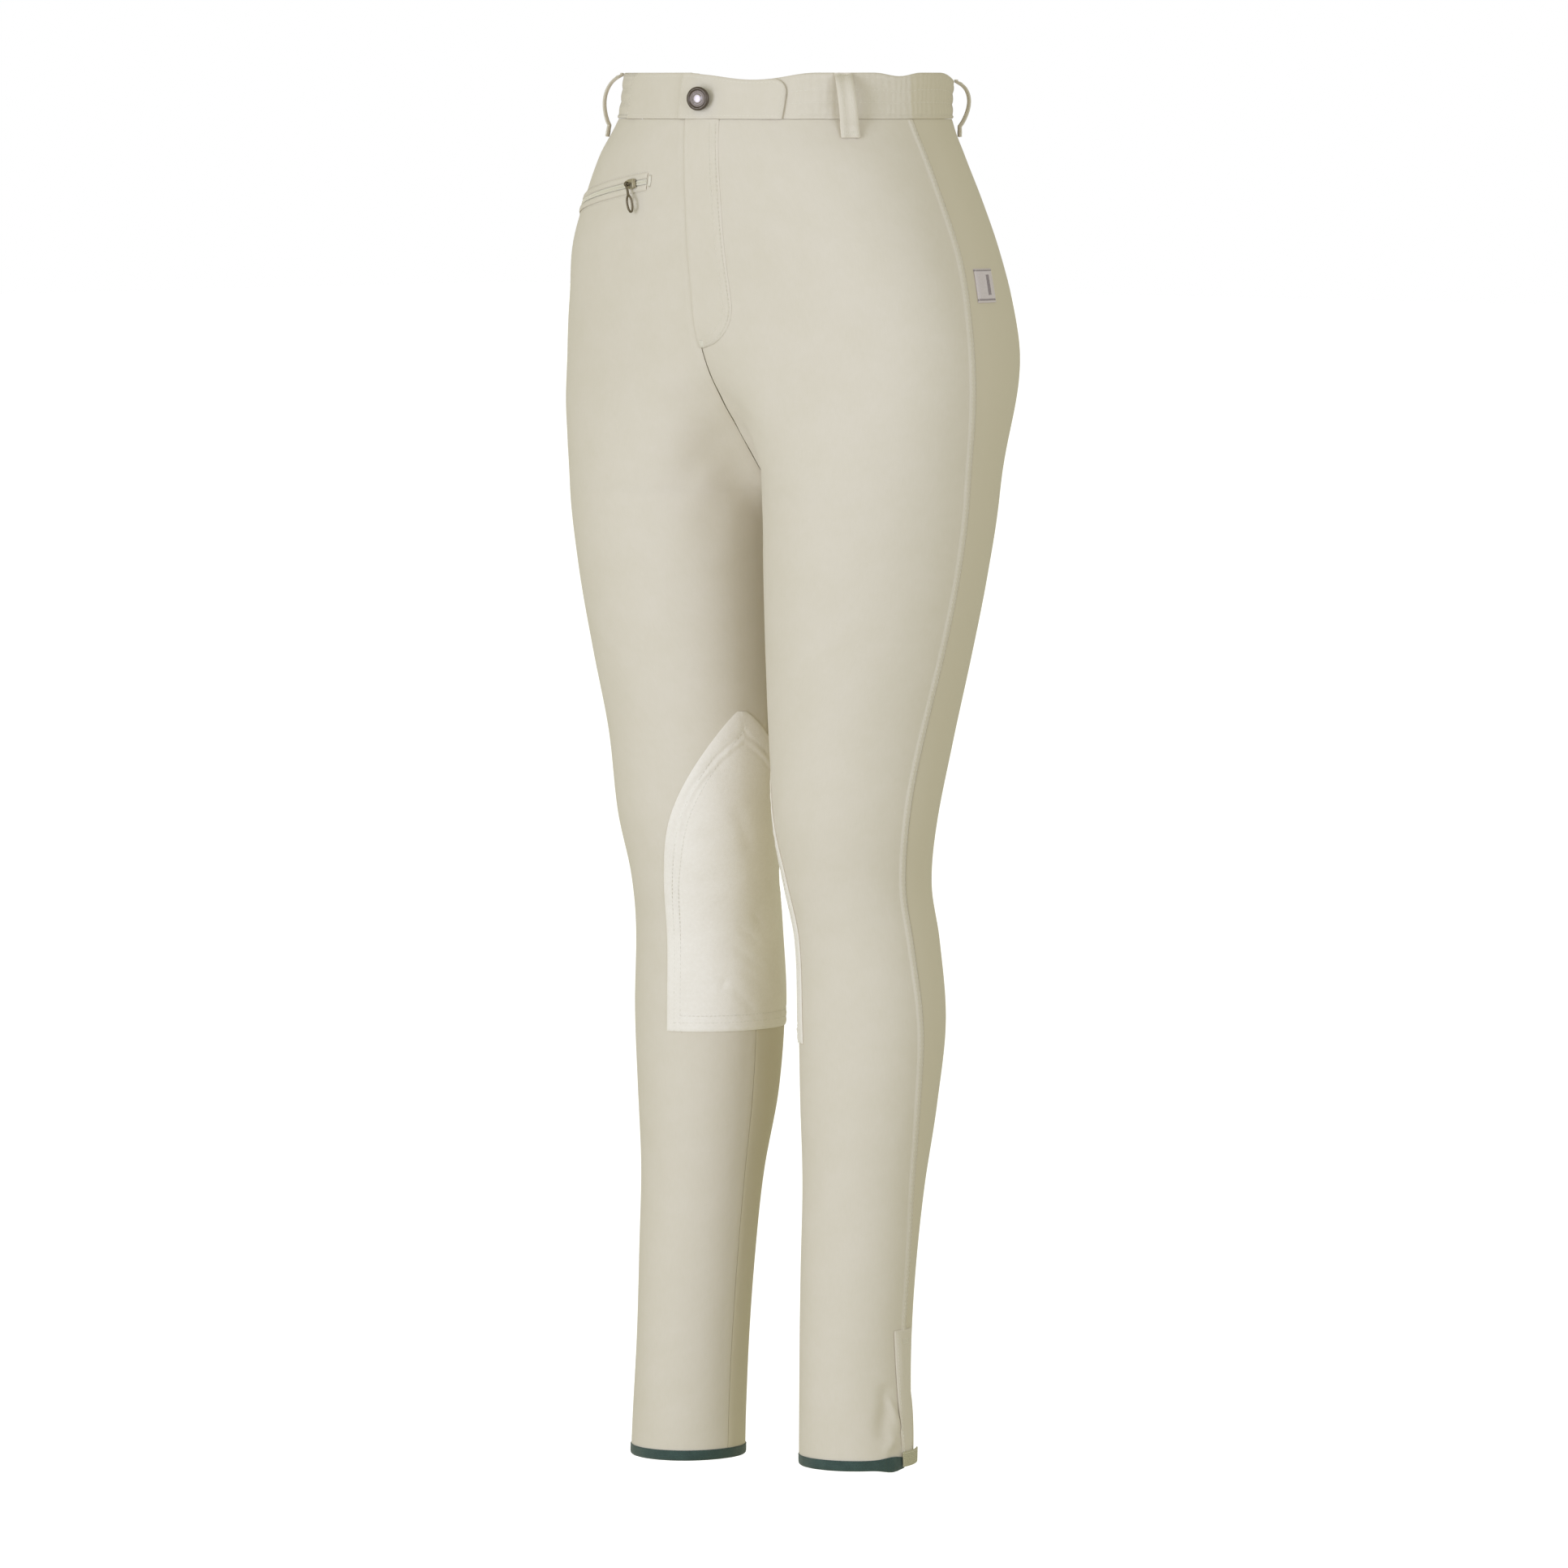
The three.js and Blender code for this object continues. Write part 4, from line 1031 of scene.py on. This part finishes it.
# Zip slider and pull
# Small cast metal pieces: the slider grips the coil, a bail stands on it, and the pull's eye swings
# on the bail with an open oval ring below.
SLIDER_ALONG = 0.11
SLIDER_LENGTH = 9
SLIDER_WIDTH = 7
SLIDER_THICK = 2.6
BAIL_LENGTH = 7
BAIL_HEIGHT = 2.4
BAIL_RADIUS = 0.6
EYE_RADIUS = 1.5
PULL_LENGTH = 21
RING_LENGTH = 13.5
RING_WIDTH = 7.2
RING_BAR = 1.6
PULL_SLANT = math.radians(6)


def reshaped(piece, shape):
    """Moves a piece's points, in millimetres, through shape(points)."""
    points = np.array([v.co for v in piece.data.vertices]) * 1000
    piece.data.vertices.foreach_set("co", (shape(points) * MM).ravel())
    piece.data.update()
    return piece


def joined(name, pieces):
    bpy.ops.object.select_all(action="DESELECT")
    for piece in pieces:
        piece.select_set(True)
    bpy.context.view_layer.objects.active = pieces[0]
    bpy.ops.object.join()
    pieces[0].name = name
    pieces[0].data.name = name
    return pieces[0]


def ring_piece(centre, half_width, half_length, bar, segments=40):
    """An oval ring of round bar lying flat, its length along y."""
    bpy.ops.mesh.primitive_torus_add(major_segments=segments, minor_segments=10,
                                     major_radius=10 * MM, minor_radius=bar / 2 * MM)

    def shape(points):
        angle = np.arctan2(points[:, 1], points[:, 0])
        off = np.hypot(points[:, 0], points[:, 1]) - 10
        x, y = half_width - bar / 2, half_length - bar / 2
        facing = np.stack([np.cos(angle) * y, np.sin(angle) * x], axis=1)
        facing /= np.linalg.norm(facing, axis=1, keepdims=True)
        flat = np.stack([np.cos(angle) * x, np.sin(angle) * y], axis=1) + facing * off[:, None]
        return np.column_stack([flat, points[:, 2]]) + np.array(centre)

    return reshaped(bpy.context.object, shape)


def block_piece(cuts, shape, bevel=0.35):
    """A cube with sides of 1, cut finely, shaped and with its edges rounded."""
    bpy.ops.mesh.primitive_cube_add(size=MM)
    piece = bpy.context.object
    bpy.ops.object.mode_set(mode="EDIT")
    bpy.ops.mesh.select_all(action="SELECT")
    bpy.ops.mesh.subdivide(number_cuts=cuts)
    bpy.ops.object.mode_set(mode="OBJECT")
    reshaped(piece, shape)
    rounded = piece.modifiers.new("rounded", "BEVEL")
    rounded.width = bevel * MM
    rounded.segments = 2
    rounded.limit_method = "ANGLE"
    rounded.angle_limit = math.radians(45)
    bpy.ops.object.modifier_apply(modifier="rounded")
    return piece


SLIDER_REST = 1.2
seat_lift = 2 * LIFT + SLIDER_REST
seat = on_zip(np.array(SLIDER_ALONG), 0, seat_lift)
seat_along = on_zip(np.array(SLIDER_ALONG + 0.03), 0, seat_lift)
seat_along = seat_along - on_zip(np.array(SLIDER_ALONG - 0.03), 0, seat_lift)
seat_along /= np.linalg.norm(seat_along)
seat_out = on_zip(np.array(SLIDER_ALONG), 0, 10) - on_zip(np.array(SLIDER_ALONG), 0, 0)
seat_down = np.cross(seat_out, seat_along)
seat_down /= np.linalg.norm(seat_down)
seat_out = np.cross(seat_along, seat_down)
SEAT = Matrix.Translation(Vector(seat * MM)) @ Matrix(
    np.column_stack([seat_along, seat_down, seat_out]).tolist()).to_4x4()
PIVOT = Matrix.Translation((0, 0, (SLIDER_THICK + BAIL_HEIGHT) * MM)) @ Matrix.Rotation(-PULL_SLANT, 4, "X")


def cast_metal(name, light, dark, rough):
    def base(graph):
        place = graph.add("ShaderNodeTexCoord", {}, {}, output="Object")
        share = (graph.noise(place, 420.0, 3.0) * 1.5 - 0.25).clamped()
        return graph.mix(share, screen_colour(*dark), screen_colour(*light))

    def relief(graph):
        place = graph.add("ShaderNodeTexCoord", {}, {}, output="Object")
        return graph.noise(place, 3000.0, 2.0)

    return finish(name, base, rough, relief, 0.00003, Metallic=0.85)


dark_metal = cast_metal("dark_metal", (138, 126, 104), (98, 88, 70), 0.5)
slider_metal = cast_metal("slider_metal", (205, 196, 172), (170, 160, 136), 0.45)


def slider_shape(points):
    x, y, z = points.T
    throat = 1 - 0.24 * smooth(x, 0.05, 0.5) - 0.12 * smooth(-x, 0.3, 0.5)
    groove = 1 - 0.3 * (np.abs(z) < 0.12)
    crown = 0.14 * (1 - (2 * y) ** 2) * (z > 0.3)
    return np.column_stack([x * SLIDER_LENGTH, y * SLIDER_WIDTH * throat * groove,
                            (z + 0.5 + crown) * SLIDER_THICK])


slider = block_piece(8, slider_shape)
slider.data.materials.append(slider_metal)
bail = ring_piece((0, 0, 0), BAIL_HEIGHT + BAIL_RADIUS, BAIL_LENGTH / 2, 2 * BAIL_RADIUS, 28)
reshaped(bail, lambda points: np.column_stack([points[:, 1], points[:, 2], points[:, 0] + SLIDER_THICK]))
bail.data.materials.append(dark_metal)
slider = joined("slider", [slider, bail])
slider.data.transform(SEAT)
bpy.ops.object.shade_smooth_by_angle(angle=math.radians(35))
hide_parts("zip_slider")
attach(slider, "garment")


def neck_shape(points):
    x, y, z = points.T
    pinch = 1 - 0.3 * (1 - (2 * y) ** 2)
    start = EYE_RADIUS + 0.1
    end = PULL_LENGTH - RING_LENGTH + 0.6
    return np.column_stack([x * 2.2 * pinch, start + (y + 0.5) * (end - start), z * 1.15])


eye = ring_piece((0, 0, 0), EYE_RADIUS + 0.45, EYE_RADIUS + 0.45, 0.9, 24)
reshaped(eye, lambda points: np.column_stack([points[:, 2] * 2.3, points[:, 1], points[:, 0]]))
ring = ring_piece((0, PULL_LENGTH - RING_LENGTH / 2, 0), RING_WIDTH / 2, RING_LENGTH / 2, RING_BAR, 44)
pull = joined("pull_ring", [block_piece(5, neck_shape, 0.25), eye, ring])
pull.data.transform(SEAT @ PIVOT)
pull.data.materials.append(dark_metal)
bpy.ops.object.shade_smooth_by_angle(angle=math.radians(40))
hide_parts("zip_pull")
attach(pull, "pull")


# Button
# A pressed shank button of dark metal on the band's lap: a rounded rim, a sunken ring and a plain raised
# middle, with a painted highlight on the middle.
BUTTON_X = 13
BUTTON_DROP = 18
BUTTON_RADIUS = 8.5
BUTTON_EDGE = 1.6
BUTTON_SHANK = 2.2
BUTTON_TILT = math.radians(15)
BUTTON_STEPS = (
    # Steps inwards from the rim: how far in, and how far up.
    (0.35, 0.5), (0.6, 0.35), (0.7, 0.05), (0.5, -0.3), (0.5, -0.55), (1.5, -0.05),
    (0.6, 0.1), (0.5, 0.45), (0.6, 0.2), (1.0, 0.1), (0.9, 0.03),
)
bpy.ops.mesh.primitive_cylinder_add(vertices=48, radius=BUTTON_RADIUS * MM, depth=BUTTON_EDGE * MM)
button = bpy.context.object
button.name = "shank_button"
button.data.name = "shank_button"
bpy.ops.object.mode_set(mode="EDIT")
bpy.ops.mesh.select_all(action="DESELECT")
bpy.ops.object.mode_set(mode="OBJECT")
for face in button.data.polygons:
    face.select = face.normal.z > 0.9
bpy.ops.object.mode_set(mode="EDIT")
bpy.context.tool_settings.mesh_select_mode = (False, False, True)
for inwards, upwards in BUTTON_STEPS:
    bpy.ops.mesh.inset(thickness=inwards * MM, depth=upwards * MM)
bpy.ops.object.mode_set(mode="OBJECT")
# The worn attribute marks the middle of the button for its painted highlight.
worn = button.data.attributes.new("worn", "FLOAT", "POINT")
reach = np.array([math.hypot(v.co.x, v.co.y) for v in button.data.vertices]) * 1000
worn.data.foreach_set("value", 1 - smooth(reach, 3.0, 4.4))
button_foot = front_band_point(
    np.array(float(BUTTON_X)), BUTTON_DROP / BAND_HEIGHT, BAND_PROUD + LAP_RISE + 2 * LIFT + 0.3)
button_top = front_band_point(np.array(float(BUTTON_X)), BUTTON_DROP / BAND_HEIGHT, BAND_PROUD + LAP_RISE + 5)
facing = Vector(button_top - button_foot).normalized()
facing = Matrix.Rotation(BUTTON_TILT, 3, "Z") @ facing
BUTTON_PLACE = Matrix.Translation(Vector(button_foot * MM) + facing * (BUTTON_EDGE / 2 + BUTTON_SHANK) * MM)
bpy.ops.mesh.primitive_cylinder_add(vertices=20, radius=2.4 * MM, depth=4 * MM,
                                    location=(0, 0, -BUTTON_EDGE / 2 * MM - 1.7 * MM))
shank = bpy.context.object
shank.data.transform(Matrix.Translation(shank.location))
shank.location = (0, 0, 0)
button = joined("shank_button", [button, shank])
button.data.transform(BUTTON_PLACE @ facing.to_track_quat("Z", "Y").to_matrix().to_4x4())


def gunmetal_colour(graph):
    place = graph.add("ShaderNodeTexCoord", {}, {}, output="Object")
    highlight_here = graph.add("ShaderNodeAttribute", {"attribute_name": "worn"}, {}, output="Fac")
    # The middle is painted bright as a highlight, and noise varies the tone at random.
    share = (highlight_here + graph.noise(place, 900.0, 3.0) * 0.5 - 0.25).clamped()
    return graph.mix(share, screen_colour(96, 86, 76), screen_colour(186, 176, 176))


def gunmetal_relief(graph):
    place = graph.add("ShaderNodeTexCoord", {}, {}, output="Object")
    return graph.noise(place, 2200.0, 2.0)


button.data.materials.append(finish("gunmetal", gunmetal_colour, 0.4, gunmetal_relief, 0.00004, Metallic=0.8))
bpy.ops.object.shade_smooth_by_angle(angle=math.radians(28))
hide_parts("button")
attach(button, "garment")


# Label
# A small woven label sewn on behind the left side seam, with a woven border and otherwise plain.
LABEL_TURN = -7.8
LABEL_Z = -151.5
LABEL_WIDTH = 29
LABEL_HEIGHT = 24
LABEL_CLOTH = 0.8
label_half = math.degrees(LABEL_WIDTH / 2 / read(BODY, "back", LABEL_Z))


def label_place(across, down, lift):
    turn = LABEL_TURN + label_half * (1 - 2 * across / LABEL_WIDTH)
    edge = np.minimum(np.minimum(across, LABEL_WIDTH - across), np.minimum(down, LABEL_HEIGHT - down))
    rise = edge_roll(edge, 0.35, 0.6) + 0.25 * np.sin(across / 3.1 + 0.6) * smooth(edge, 0.5, 4)
    return on_cloth(1, turn, LABEL_Z + LABEL_HEIGHT / 2 - down, LIFT + LABEL_CLOTH + rise + lift)


def label_colour(graph):
    grain = graph.add("ShaderNodeUVMap", {"uv_map": "UVMap"}, {})
    across = graph.add("ShaderNodeSeparateXYZ", {}, {0: grain}, output="X")
    along = graph.add("ShaderNodeSeparateXYZ", {}, {0: grain}, output="Y")
    from_side = across.least(LABEL_WIDTH * MM - across)
    from_end = along.least(LABEL_HEIGHT * MM - along)
    edge = from_side.least(from_end)
    border = from_end.near(0.0013, 0.0007)
    rule = across.near(LABEL_WIDTH * MM * 0.5, 0.0017)
    inside = edge.over(0.0046)
    rib = (along * 14000.0).sine() * 0.12 + graph.noise(grain, 700.0, 2.0) * 0.5
    share = (border * 0.75 + rule * inside * 0.8 + rib - 0.25).clamped()
    return graph.mix(share, screen_colour(222, 211, 214), screen_colour(122, 108, 116))


def label_relief(graph):
    grain = graph.add("ShaderNodeUVMap", {"uv_map": "UVMap"}, {})
    along = graph.add("ShaderNodeSeparateXYZ", {}, {0: grain}, output="Y")
    across = graph.add("ShaderNodeSeparateXYZ", {}, {0: grain}, output="X")
    return (along * 14000.0).sine() * 0.5 + (across * 9000.0).sine() * 0.4


across, down = np.meshgrid(
    spaced([LABEL_WIDTH], 16, (0, 0.4, 1.0))[0], spaced([LABEL_HEIGHT], 14, (0, 0.4, 1.0))[0])
label = lay_cloth("label_cloth", label_place, across, down, 0.0, LABEL_CLOTH)
label.data.materials.append(finish(
    "woven_label", label_colour, 0.6, label_relief, 0.00008, Sheen_Weight=0.2))
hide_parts("label")
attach(label, "garment")
LABEL_EDGE = ((1, 1), (28, 1), (28, 23), (1, 23), (1, 1))
label_rows = []
for (x0, y0), (x1, y1) in zip(LABEL_EDGE, LABEL_EDGE[1:]):
    label_rows.append(sewn_line(
        lambda t, lift, a=x0, b=y0, c=x1, d=y1: label_place(a + (c - a) * t, b + (d - b) * t, lift),
        2.4, 1.8))
sew("stitches_label", label_rows, thread)


# Knee patches
# Soft suede on the inside of each knee, over the seam, with a rounded top and a straight foot,
# turned under at its edge and sewn down in two rows.
PATCH_TOP = 461
PATCH_FOOT = 699
PATCH_PEAK_TURN = 159
PATCH_FRONT_TURN = 98
PATCH_FRONT_SHOULDER = 155
PATCH_BACK_TURN = 252
PATCH_BACK_SHOULDER = 200
PATCH_TURNED_LEFT = 14
PATCH_LIFT = 0.35
PATCH_CLOTH = 0.8
PATCH_ROWS_IN = (6.8, 11.8)
PATCH_CREASES = columns("side turn z to_turn to_z width depth", (
    # Small slanting wrinkles low on the patch.
    (-1, 160, -622, 186, -636, 2.4, -0.95),
    (-1, 157, -640, 190, -655, 2.8, -1.15),
    (-1, 162, -656, 192, -668, 2.2, -0.9),
    (-1, 155, -670, 178, -686, 2.6, -1.0),
    (-1, 176, -612, 190, -624, 2.2, -0.7),
    # A curved line and a dent in front of them.
    (-1, 113, -661, 130, -667, 1.8, -0.7),
    (-1, 128, -667, 143, -663, 1.8, -0.7),
    (-1, 142, -667, 150, -661, 2.2, -1.1),
    # Across the knee.
    (-1, 158, -530, 173, -568, 6.0, -0.9),
    (-1, 122, -560, 160, -548, 5.0, -0.55),
    (-1, 116, -590, 168, -584, 5.0, -0.55),
    (1, 150, -560, 215, -548, 6.0, -0.8),
    (1, 155, -600, 220, -590, 6.0, -0.8),
    (1, 150, -640, 205, -655, 4.0, -0.6),
))


def patch_edges(drop):
    """The turns of a patch's front and back edges at this drop below its top."""
    edges = []
    for turn, shoulder in ((PATCH_FRONT_TURN, PATCH_FRONT_SHOULDER), (PATCH_BACK_TURN, PATCH_BACK_SHOULDER)):
        share = np.sin(np.minimum(drop / shoulder, 1) * math.pi / 2) ** 0.8
        edges.append(PATCH_PEAK_TURN + (turn - PATCH_PEAK_TURN) * share)
    return edges


def patch_place(side, turned):
    high = PATCH_FOOT - PATCH_TOP

    def place(u, v, lift):
        drop = high * v ** 1.25 + 2 * (1 - v)
        front, back = patch_edges(drop)
        z = -PATCH_TOP - drop
        turn = front + (back - front) * u
        across = (back - front) * np.radians(read(LEG, "out", z))
        slope = np.clip(drop / 60, 0.35, 1)
        edge = np.minimum(np.minimum(u, 1 - u) * across * slope, high - drop + 0 * u)
        rise = edge_roll(edge, 0.55, 0.8)
        for row in PATCH_ROWS_IN:
            rise = rise - 0.5 * np.exp(-(((edge - row) / 0.85) ** 2))
        between = np.exp(-(((edge - 9.3) / 1.7) ** 2)) + 0.6 * np.exp(-(((edge - 3.4) / 2.0) ** 2))
        rise = rise + between * (0.4 + 0.2 * np.sin(z / 2.3 + turn / 2.1) + 0.12 * np.sin(z / 0.9 - turn))
        rise = rise + creased(PATCH_CREASES, side, turn, z)
        return on_cloth(side, turn + turned, z, PATCH_LIFT + PATCH_CLOTH + rise + lift)
    return place


def inset_path(outline, inside, place):
    """A line this far inside an outline of (millimetres round, height), laid by place."""
    step = np.gradient(outline, axis=0)
    step /= np.linalg.norm(step, axis=1, keepdims=True)
    line = outline + inside * np.column_stack([step[:, 1], -step[:, 0]])
    stops = np.linspace(0, 1, len(line))

    def path(t, lift):
        return place(np.interp(t, stops, line[:, 0]), np.interp(t, stops, line[:, 1]), lift)
    return path


def suede_colour(graph):
    place = graph.add("ShaderNodeTexCoord", {}, {}, output="Object")
    clouds = graph.noise(place, 26.0, 4.0, 0.6)
    nap = graph.noise(place, 420.0, 3.0)
    fleck = graph.noise(place, 2600.0, 2.0)
    share = (clouds * 0.9 + nap * 0.5 + fleck * 0.5 - 0.45).clamped()
    return graph.mix(share, screen_colour(229, 221, 209), screen_colour(246, 240, 232))


def suede_relief(graph):
    place = graph.add("ShaderNodeTexCoord", {}, {}, output="Object")
    return graph.noise(place, 1500.0, 3.0) * 0.7 + graph.noise(place, 300.0, 3.0) * 0.9


suede = finish("suede", suede_colour, 0.95, suede_relief, 0.00012,
               Sheen_Weight=0.3, Sheen_Roughness=0.6, Specular_IOR_Level=0.15)
patch_lines = []
for side_name, side, turned in (("left", 1, PATCH_TURNED_LEFT), ("right", -1, 0)):
    place = patch_place(side, turned)
    u, v = np.meshgrid(spaced([140], 60)[0] / 140, np.concatenate(
        [np.linspace(0, 0.96, 96), [0.97, 0.98, 0.988, 0.993, 0.996, 0.9985, 1.0]]))
    patch = lay_cloth(f"patch_{side_name}", place, u, v, 0.0, PATCH_CLOTH)
    patch.data.materials.append(suede)
    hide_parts(f"knee_patch_{side_name}")
    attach(patch, "garment")
    drops = np.linspace(PATCH_FOOT - PATCH_TOP, 1.0, 160)
    front, back = patch_edges(drops)
    round_out = np.radians(read(LEG, "out", -PATCH_TOP - drops))
    sides = [np.column_stack([turn * round_out, -PATCH_TOP - drops]) for turn in (front, back)]
    outline = np.concatenate([sides[0], sides[1][::-1]])

    def on_patch(length, z, lift, side=side, turned=turned):
        turn = length / np.radians(read(LEG, "out", z))
        rise = PATCH_LIFT + PATCH_CLOTH + creased(PATCH_CREASES, side, turn, z)
        return on_cloth(side, turn + turned, z, rise + lift)

    for inside in PATCH_ROWS_IN:
        patch_lines.append(sewn_line(inset_path(outline, inside, on_patch), samples=600))
        start, end = sides[0][0, 0] + inside, sides[1][0, 0] - inside
        patch_lines.append(sewn_line(
            lambda t, lift, a=start, b=end, up=inside, on=on_patch: on(
                a + (b - a) * t, up - PATCH_FOOT + 0 * t, lift)))
sew("stitches_patches", patch_lines, finish(
    "patch_thread", lambda graph: screen_colour(226, 221, 210), 0.7, Sheen_Weight=0.2))


# Hem bindings
# A dark green stretch tape folded round each raw hem, with a rounded fold below, and bunched where
# it is turned in at the front of the ankle's opening.
HEM_OPEN_FRONT = -8
HEM_OPEN_BACK = -41
BINDING_TAPE = 0.5
BINDING_SECTION = (
    # How far out of the cloth's face, and how far above the hem, from the outer edge round the fold.
    (0.5, 7.5), (0.62, 7.0), (0.66, 5.5), (0.68, 3.6), (0.64, 1.9), (0.42, 0.7), (-0.05, -0.05),
    (-0.7, -0.3), (-1.35, -0.05), (-1.85, 0.7), (-2.1, 1.9), (-2.15, 4.0), (-2.1, 7.0),
)


def binding_place(side):
    section = np.array(BINDING_SECTION)
    stops = np.linspace(0, 1, len(section))

    def place(u, v, lift):
        turn = HEM_OPEN_FRONT - 2 + (362 + HEM_OPEN_BACK - HEM_OPEN_FRONT) * u
        out = np.interp(v, stops, section[:, 0])
        up = np.interp(v, stops, section[:, 1])
        bunch = np.exp(-(((turn - HEM_OPEN_FRONT - 16) / 13.0) ** 2)) * (side > 0)
        bunch = bunch + 0.4 * np.exp(-(((turn - HEM_OPEN_FRONT) / 14.0) ** 2)) * (side < 0)
        out = out + (out + 0.6) * 0.5 * bunch
        up = up + bunch * (3.6 * np.clip(up / 7.5, 0, 1) - 2.0)
        wave = 0.16 * np.sin(turn / 4.3 + side) * np.sin(turn / 7.9) + 0.2 * bunch * np.sin(turn * 1.1)
        z = up - HEM[side]
        facing = skin_normal(turn, z)
        facing[..., 2] = 0
        facing /= np.linalg.norm(facing, axis=-1, keepdims=True)
        turned_in = edge_roll(np.minimum(u, 1 - u) * 225, 0.5, 0.9)
        centre = -0.6
        swell = lift * np.where(out > centre, 1, -1)
        point = skin(turn, z) + facing * (out + wave + turned_in + swell)[..., None]
        point[..., 0] *= side
        return point
    return place


def binding_colour(graph):
    grain = graph.add("ShaderNodeUVMap", {"uv_map": "UVMap"}, {})
    clouds = graph.noise(grain, 120.0, 3.0)
    fleck = graph.noise(graph.stretched(grain, 2200.0, 900.0), 1.0, 2.0)
    share = (clouds * 0.9 + fleck * 0.7 - 0.4).clamped()
    return graph.mix(share, screen_colour(40, 62, 58), screen_colour(66, 92, 86))


def binding_relief(graph):
    grain = graph.add("ShaderNodeUVMap", {"uv_map": "UVMap"}, {})
    across = graph.add("ShaderNodeSeparateXYZ", {}, {0: grain}, output="X")
    along = graph.add("ShaderNodeSeparateXYZ", {}, {0: grain}, output="Y")
    return (across * 8000.0).sine() * 0.6 + (along * 5200.0).sine() * 0.35


binding_tape = finish("binding", binding_colour, 0.62, binding_relief, 0.00012,
                      Sheen_Weight=0.25, Specular_IOR_Level=0.35)
binding_lines = []
for side_name, side in (("left", 1), ("right", -1)):
    place = binding_place(side)
    u, v = np.meshgrid(spaced([225], 150, (0, 0.4, 1.0, 2.0))[0] / 225, np.linspace(0, 1, 34))
    binding = lay_cloth(f"binding_{side_name}", place, u, v, 0.0, BINDING_TAPE)
    binding.data.materials.append(binding_tape)
    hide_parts(f"hem_binding_{side_name}")
    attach(binding, "garment")
    binding_lines.append(sewn_line(
        lambda t, lift, p=place: p(0.004 + 0.99 * t, 0.085 + 0 * t, lift), 3.0, 2.2))
sew("stitches_bindings", binding_lines, finish(
    "binding_thread", lambda graph: screen_colour(48, 70, 66), 0.6, Sheen_Weight=0.2))


# Ankle closures
# Each outside ankle has a short opening under a flap of the twill, held by a grip tape whose end
# shows below the flap.
VENT_TOP = 905
FLAP_FRONT = 14
FLAP_FRONT_FOOT = 4.5
FLAP_BACK = 9
FLAP_CLOTH = 0.9
TAB_TOP = 12
TAB_FOOT = 1
TAB_CLOTH = 0.9


def turn_for(length, z):
    return length / np.radians(read(LEG, "out", z))


def flap_place(side):
    def place(u, v, lift):
        z = -VENT_TOP + (panel_foot(side) + VENT_TOP) * v
        wide = FLAP_FRONT + (FLAP_FRONT_FOOT - FLAP_FRONT) * v
        front = turn_for(wide, z)
        back = turn_for(-FLAP_BACK + 0 * z, z)
        across = u * (wide + FLAP_BACK)
        edge = np.minimum(across, wide + FLAP_BACK - across)
        edge = np.minimum(edge, np.minimum(v, 1 - v) * (-panel_foot(side) - VENT_TOP))
        rise = edge_roll(edge, 1.2, 0.9) - 0.2 * np.exp(-(((edge - 2.6) / 0.8) ** 2))
        turn = read(SIDE_SEAM, "turn", z) + front + (back - front) * u
        return on_cloth(side, turn, z, FELL_RISE + LIFT + FLAP_CLOTH + rise + lift)
    return place


def tab_place(side):
    def place(u, v, lift):
        turn = HEM_OPEN_FRONT + 5 + (HEM_OPEN_BACK - 4 - HEM_OPEN_FRONT) * u
        z = TAB_TOP + (TAB_FOOT - TAB_TOP) * v - HEM[side]
        edge = np.minimum(np.minimum(u, 1 - u) * 23, np.minimum(v, 1 - v) * (TAB_TOP - TAB_FOOT))
        rise = edge_roll(edge, 0.4, 0.6) + FELL_RISE + 2 * LIFT + FLAP_CLOTH + TAB_CLOTH + 0.1
        return on_cloth(side, turn, z, rise + lift)
    return place


def grip_relief(graph):
    grain = graph.add("ShaderNodeUVMap", {"uv_map": "UVMap"}, {})
    across = graph.add("ShaderNodeSeparateXYZ", {}, {0: grain}, output="X")
    along = graph.add("ShaderNodeSeparateXYZ", {}, {0: grain}, output="Y")
    return (across * 5200.0).sine() * 0.5 + (along * 4600.0).sine() * 0.5 + graph.noise(grain, 1800.0) * 0.6


def grip_colour(graph):
    grain = graph.add("ShaderNodeUVMap", {"uv_map": "UVMap"}, {})
    share = (graph.noise(grain, 900.0, 3.0) * 1.6 - 0.3).clamped()
    return graph.mix(share, screen_colour(186, 180, 146), screen_colour(216, 210, 178))


grip_tape = finish("grip_tape", grip_colour, 0.7, grip_relief, 0.00035, Sheen_Weight=0.2)
ankle_lines = []
for side_name, side in (("left", 1), ("right", -1)):
    place = flap_place(side)
    u, v = np.meshgrid(spaced([19], 14, (0, 0.35, 0.9))[0] / 19, np.linspace(0, 1, 70))
    flap = lay_cloth(f"flap_{side_name}", place, u, v, 0.0, FLAP_CLOTH)
    flap.data.materials.append(breeches_cloth)
    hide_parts(f"ankle_flap_{side_name}")
    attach(flap, "garment")
    for across in (0.11, 0.89):
        ankle_lines.append(sewn_line(
            lambda t, lift, p=place, a=across: p(a + 0 * t, 0.02 + 0.96 * t, lift), 2.6, 2.0))
    ankle_lines += bar_tack(
        lambda t, aside, lift, p=place: p(0.5 + aside / 19, 0.07 + 0.035 * t + 0 * aside, lift), 5, 10)
    place = tab_place(side)
    u, v = np.meshgrid(spaced([23], 14, (0, 0.4, 1.0))[0] / 23, spaced([11], 9, (0, 0.4, 1.0))[0] / 11)
    tab = lay_cloth(f"tab_{side_name}", place, u, v, 0.0, TAB_CLOTH)
    tab.data.materials.append(grip_tape)
    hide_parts(f"grip_tab_{side_name}")
    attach(tab, "garment")
    ankle_lines.append(sewn_line(lambda t, lift, p=place: p(0.05 + 0.9 * t, 0.12 + 0 * t, lift), 2.4, 1.8))
sew("stitches_ankles", ankle_lines, thread)
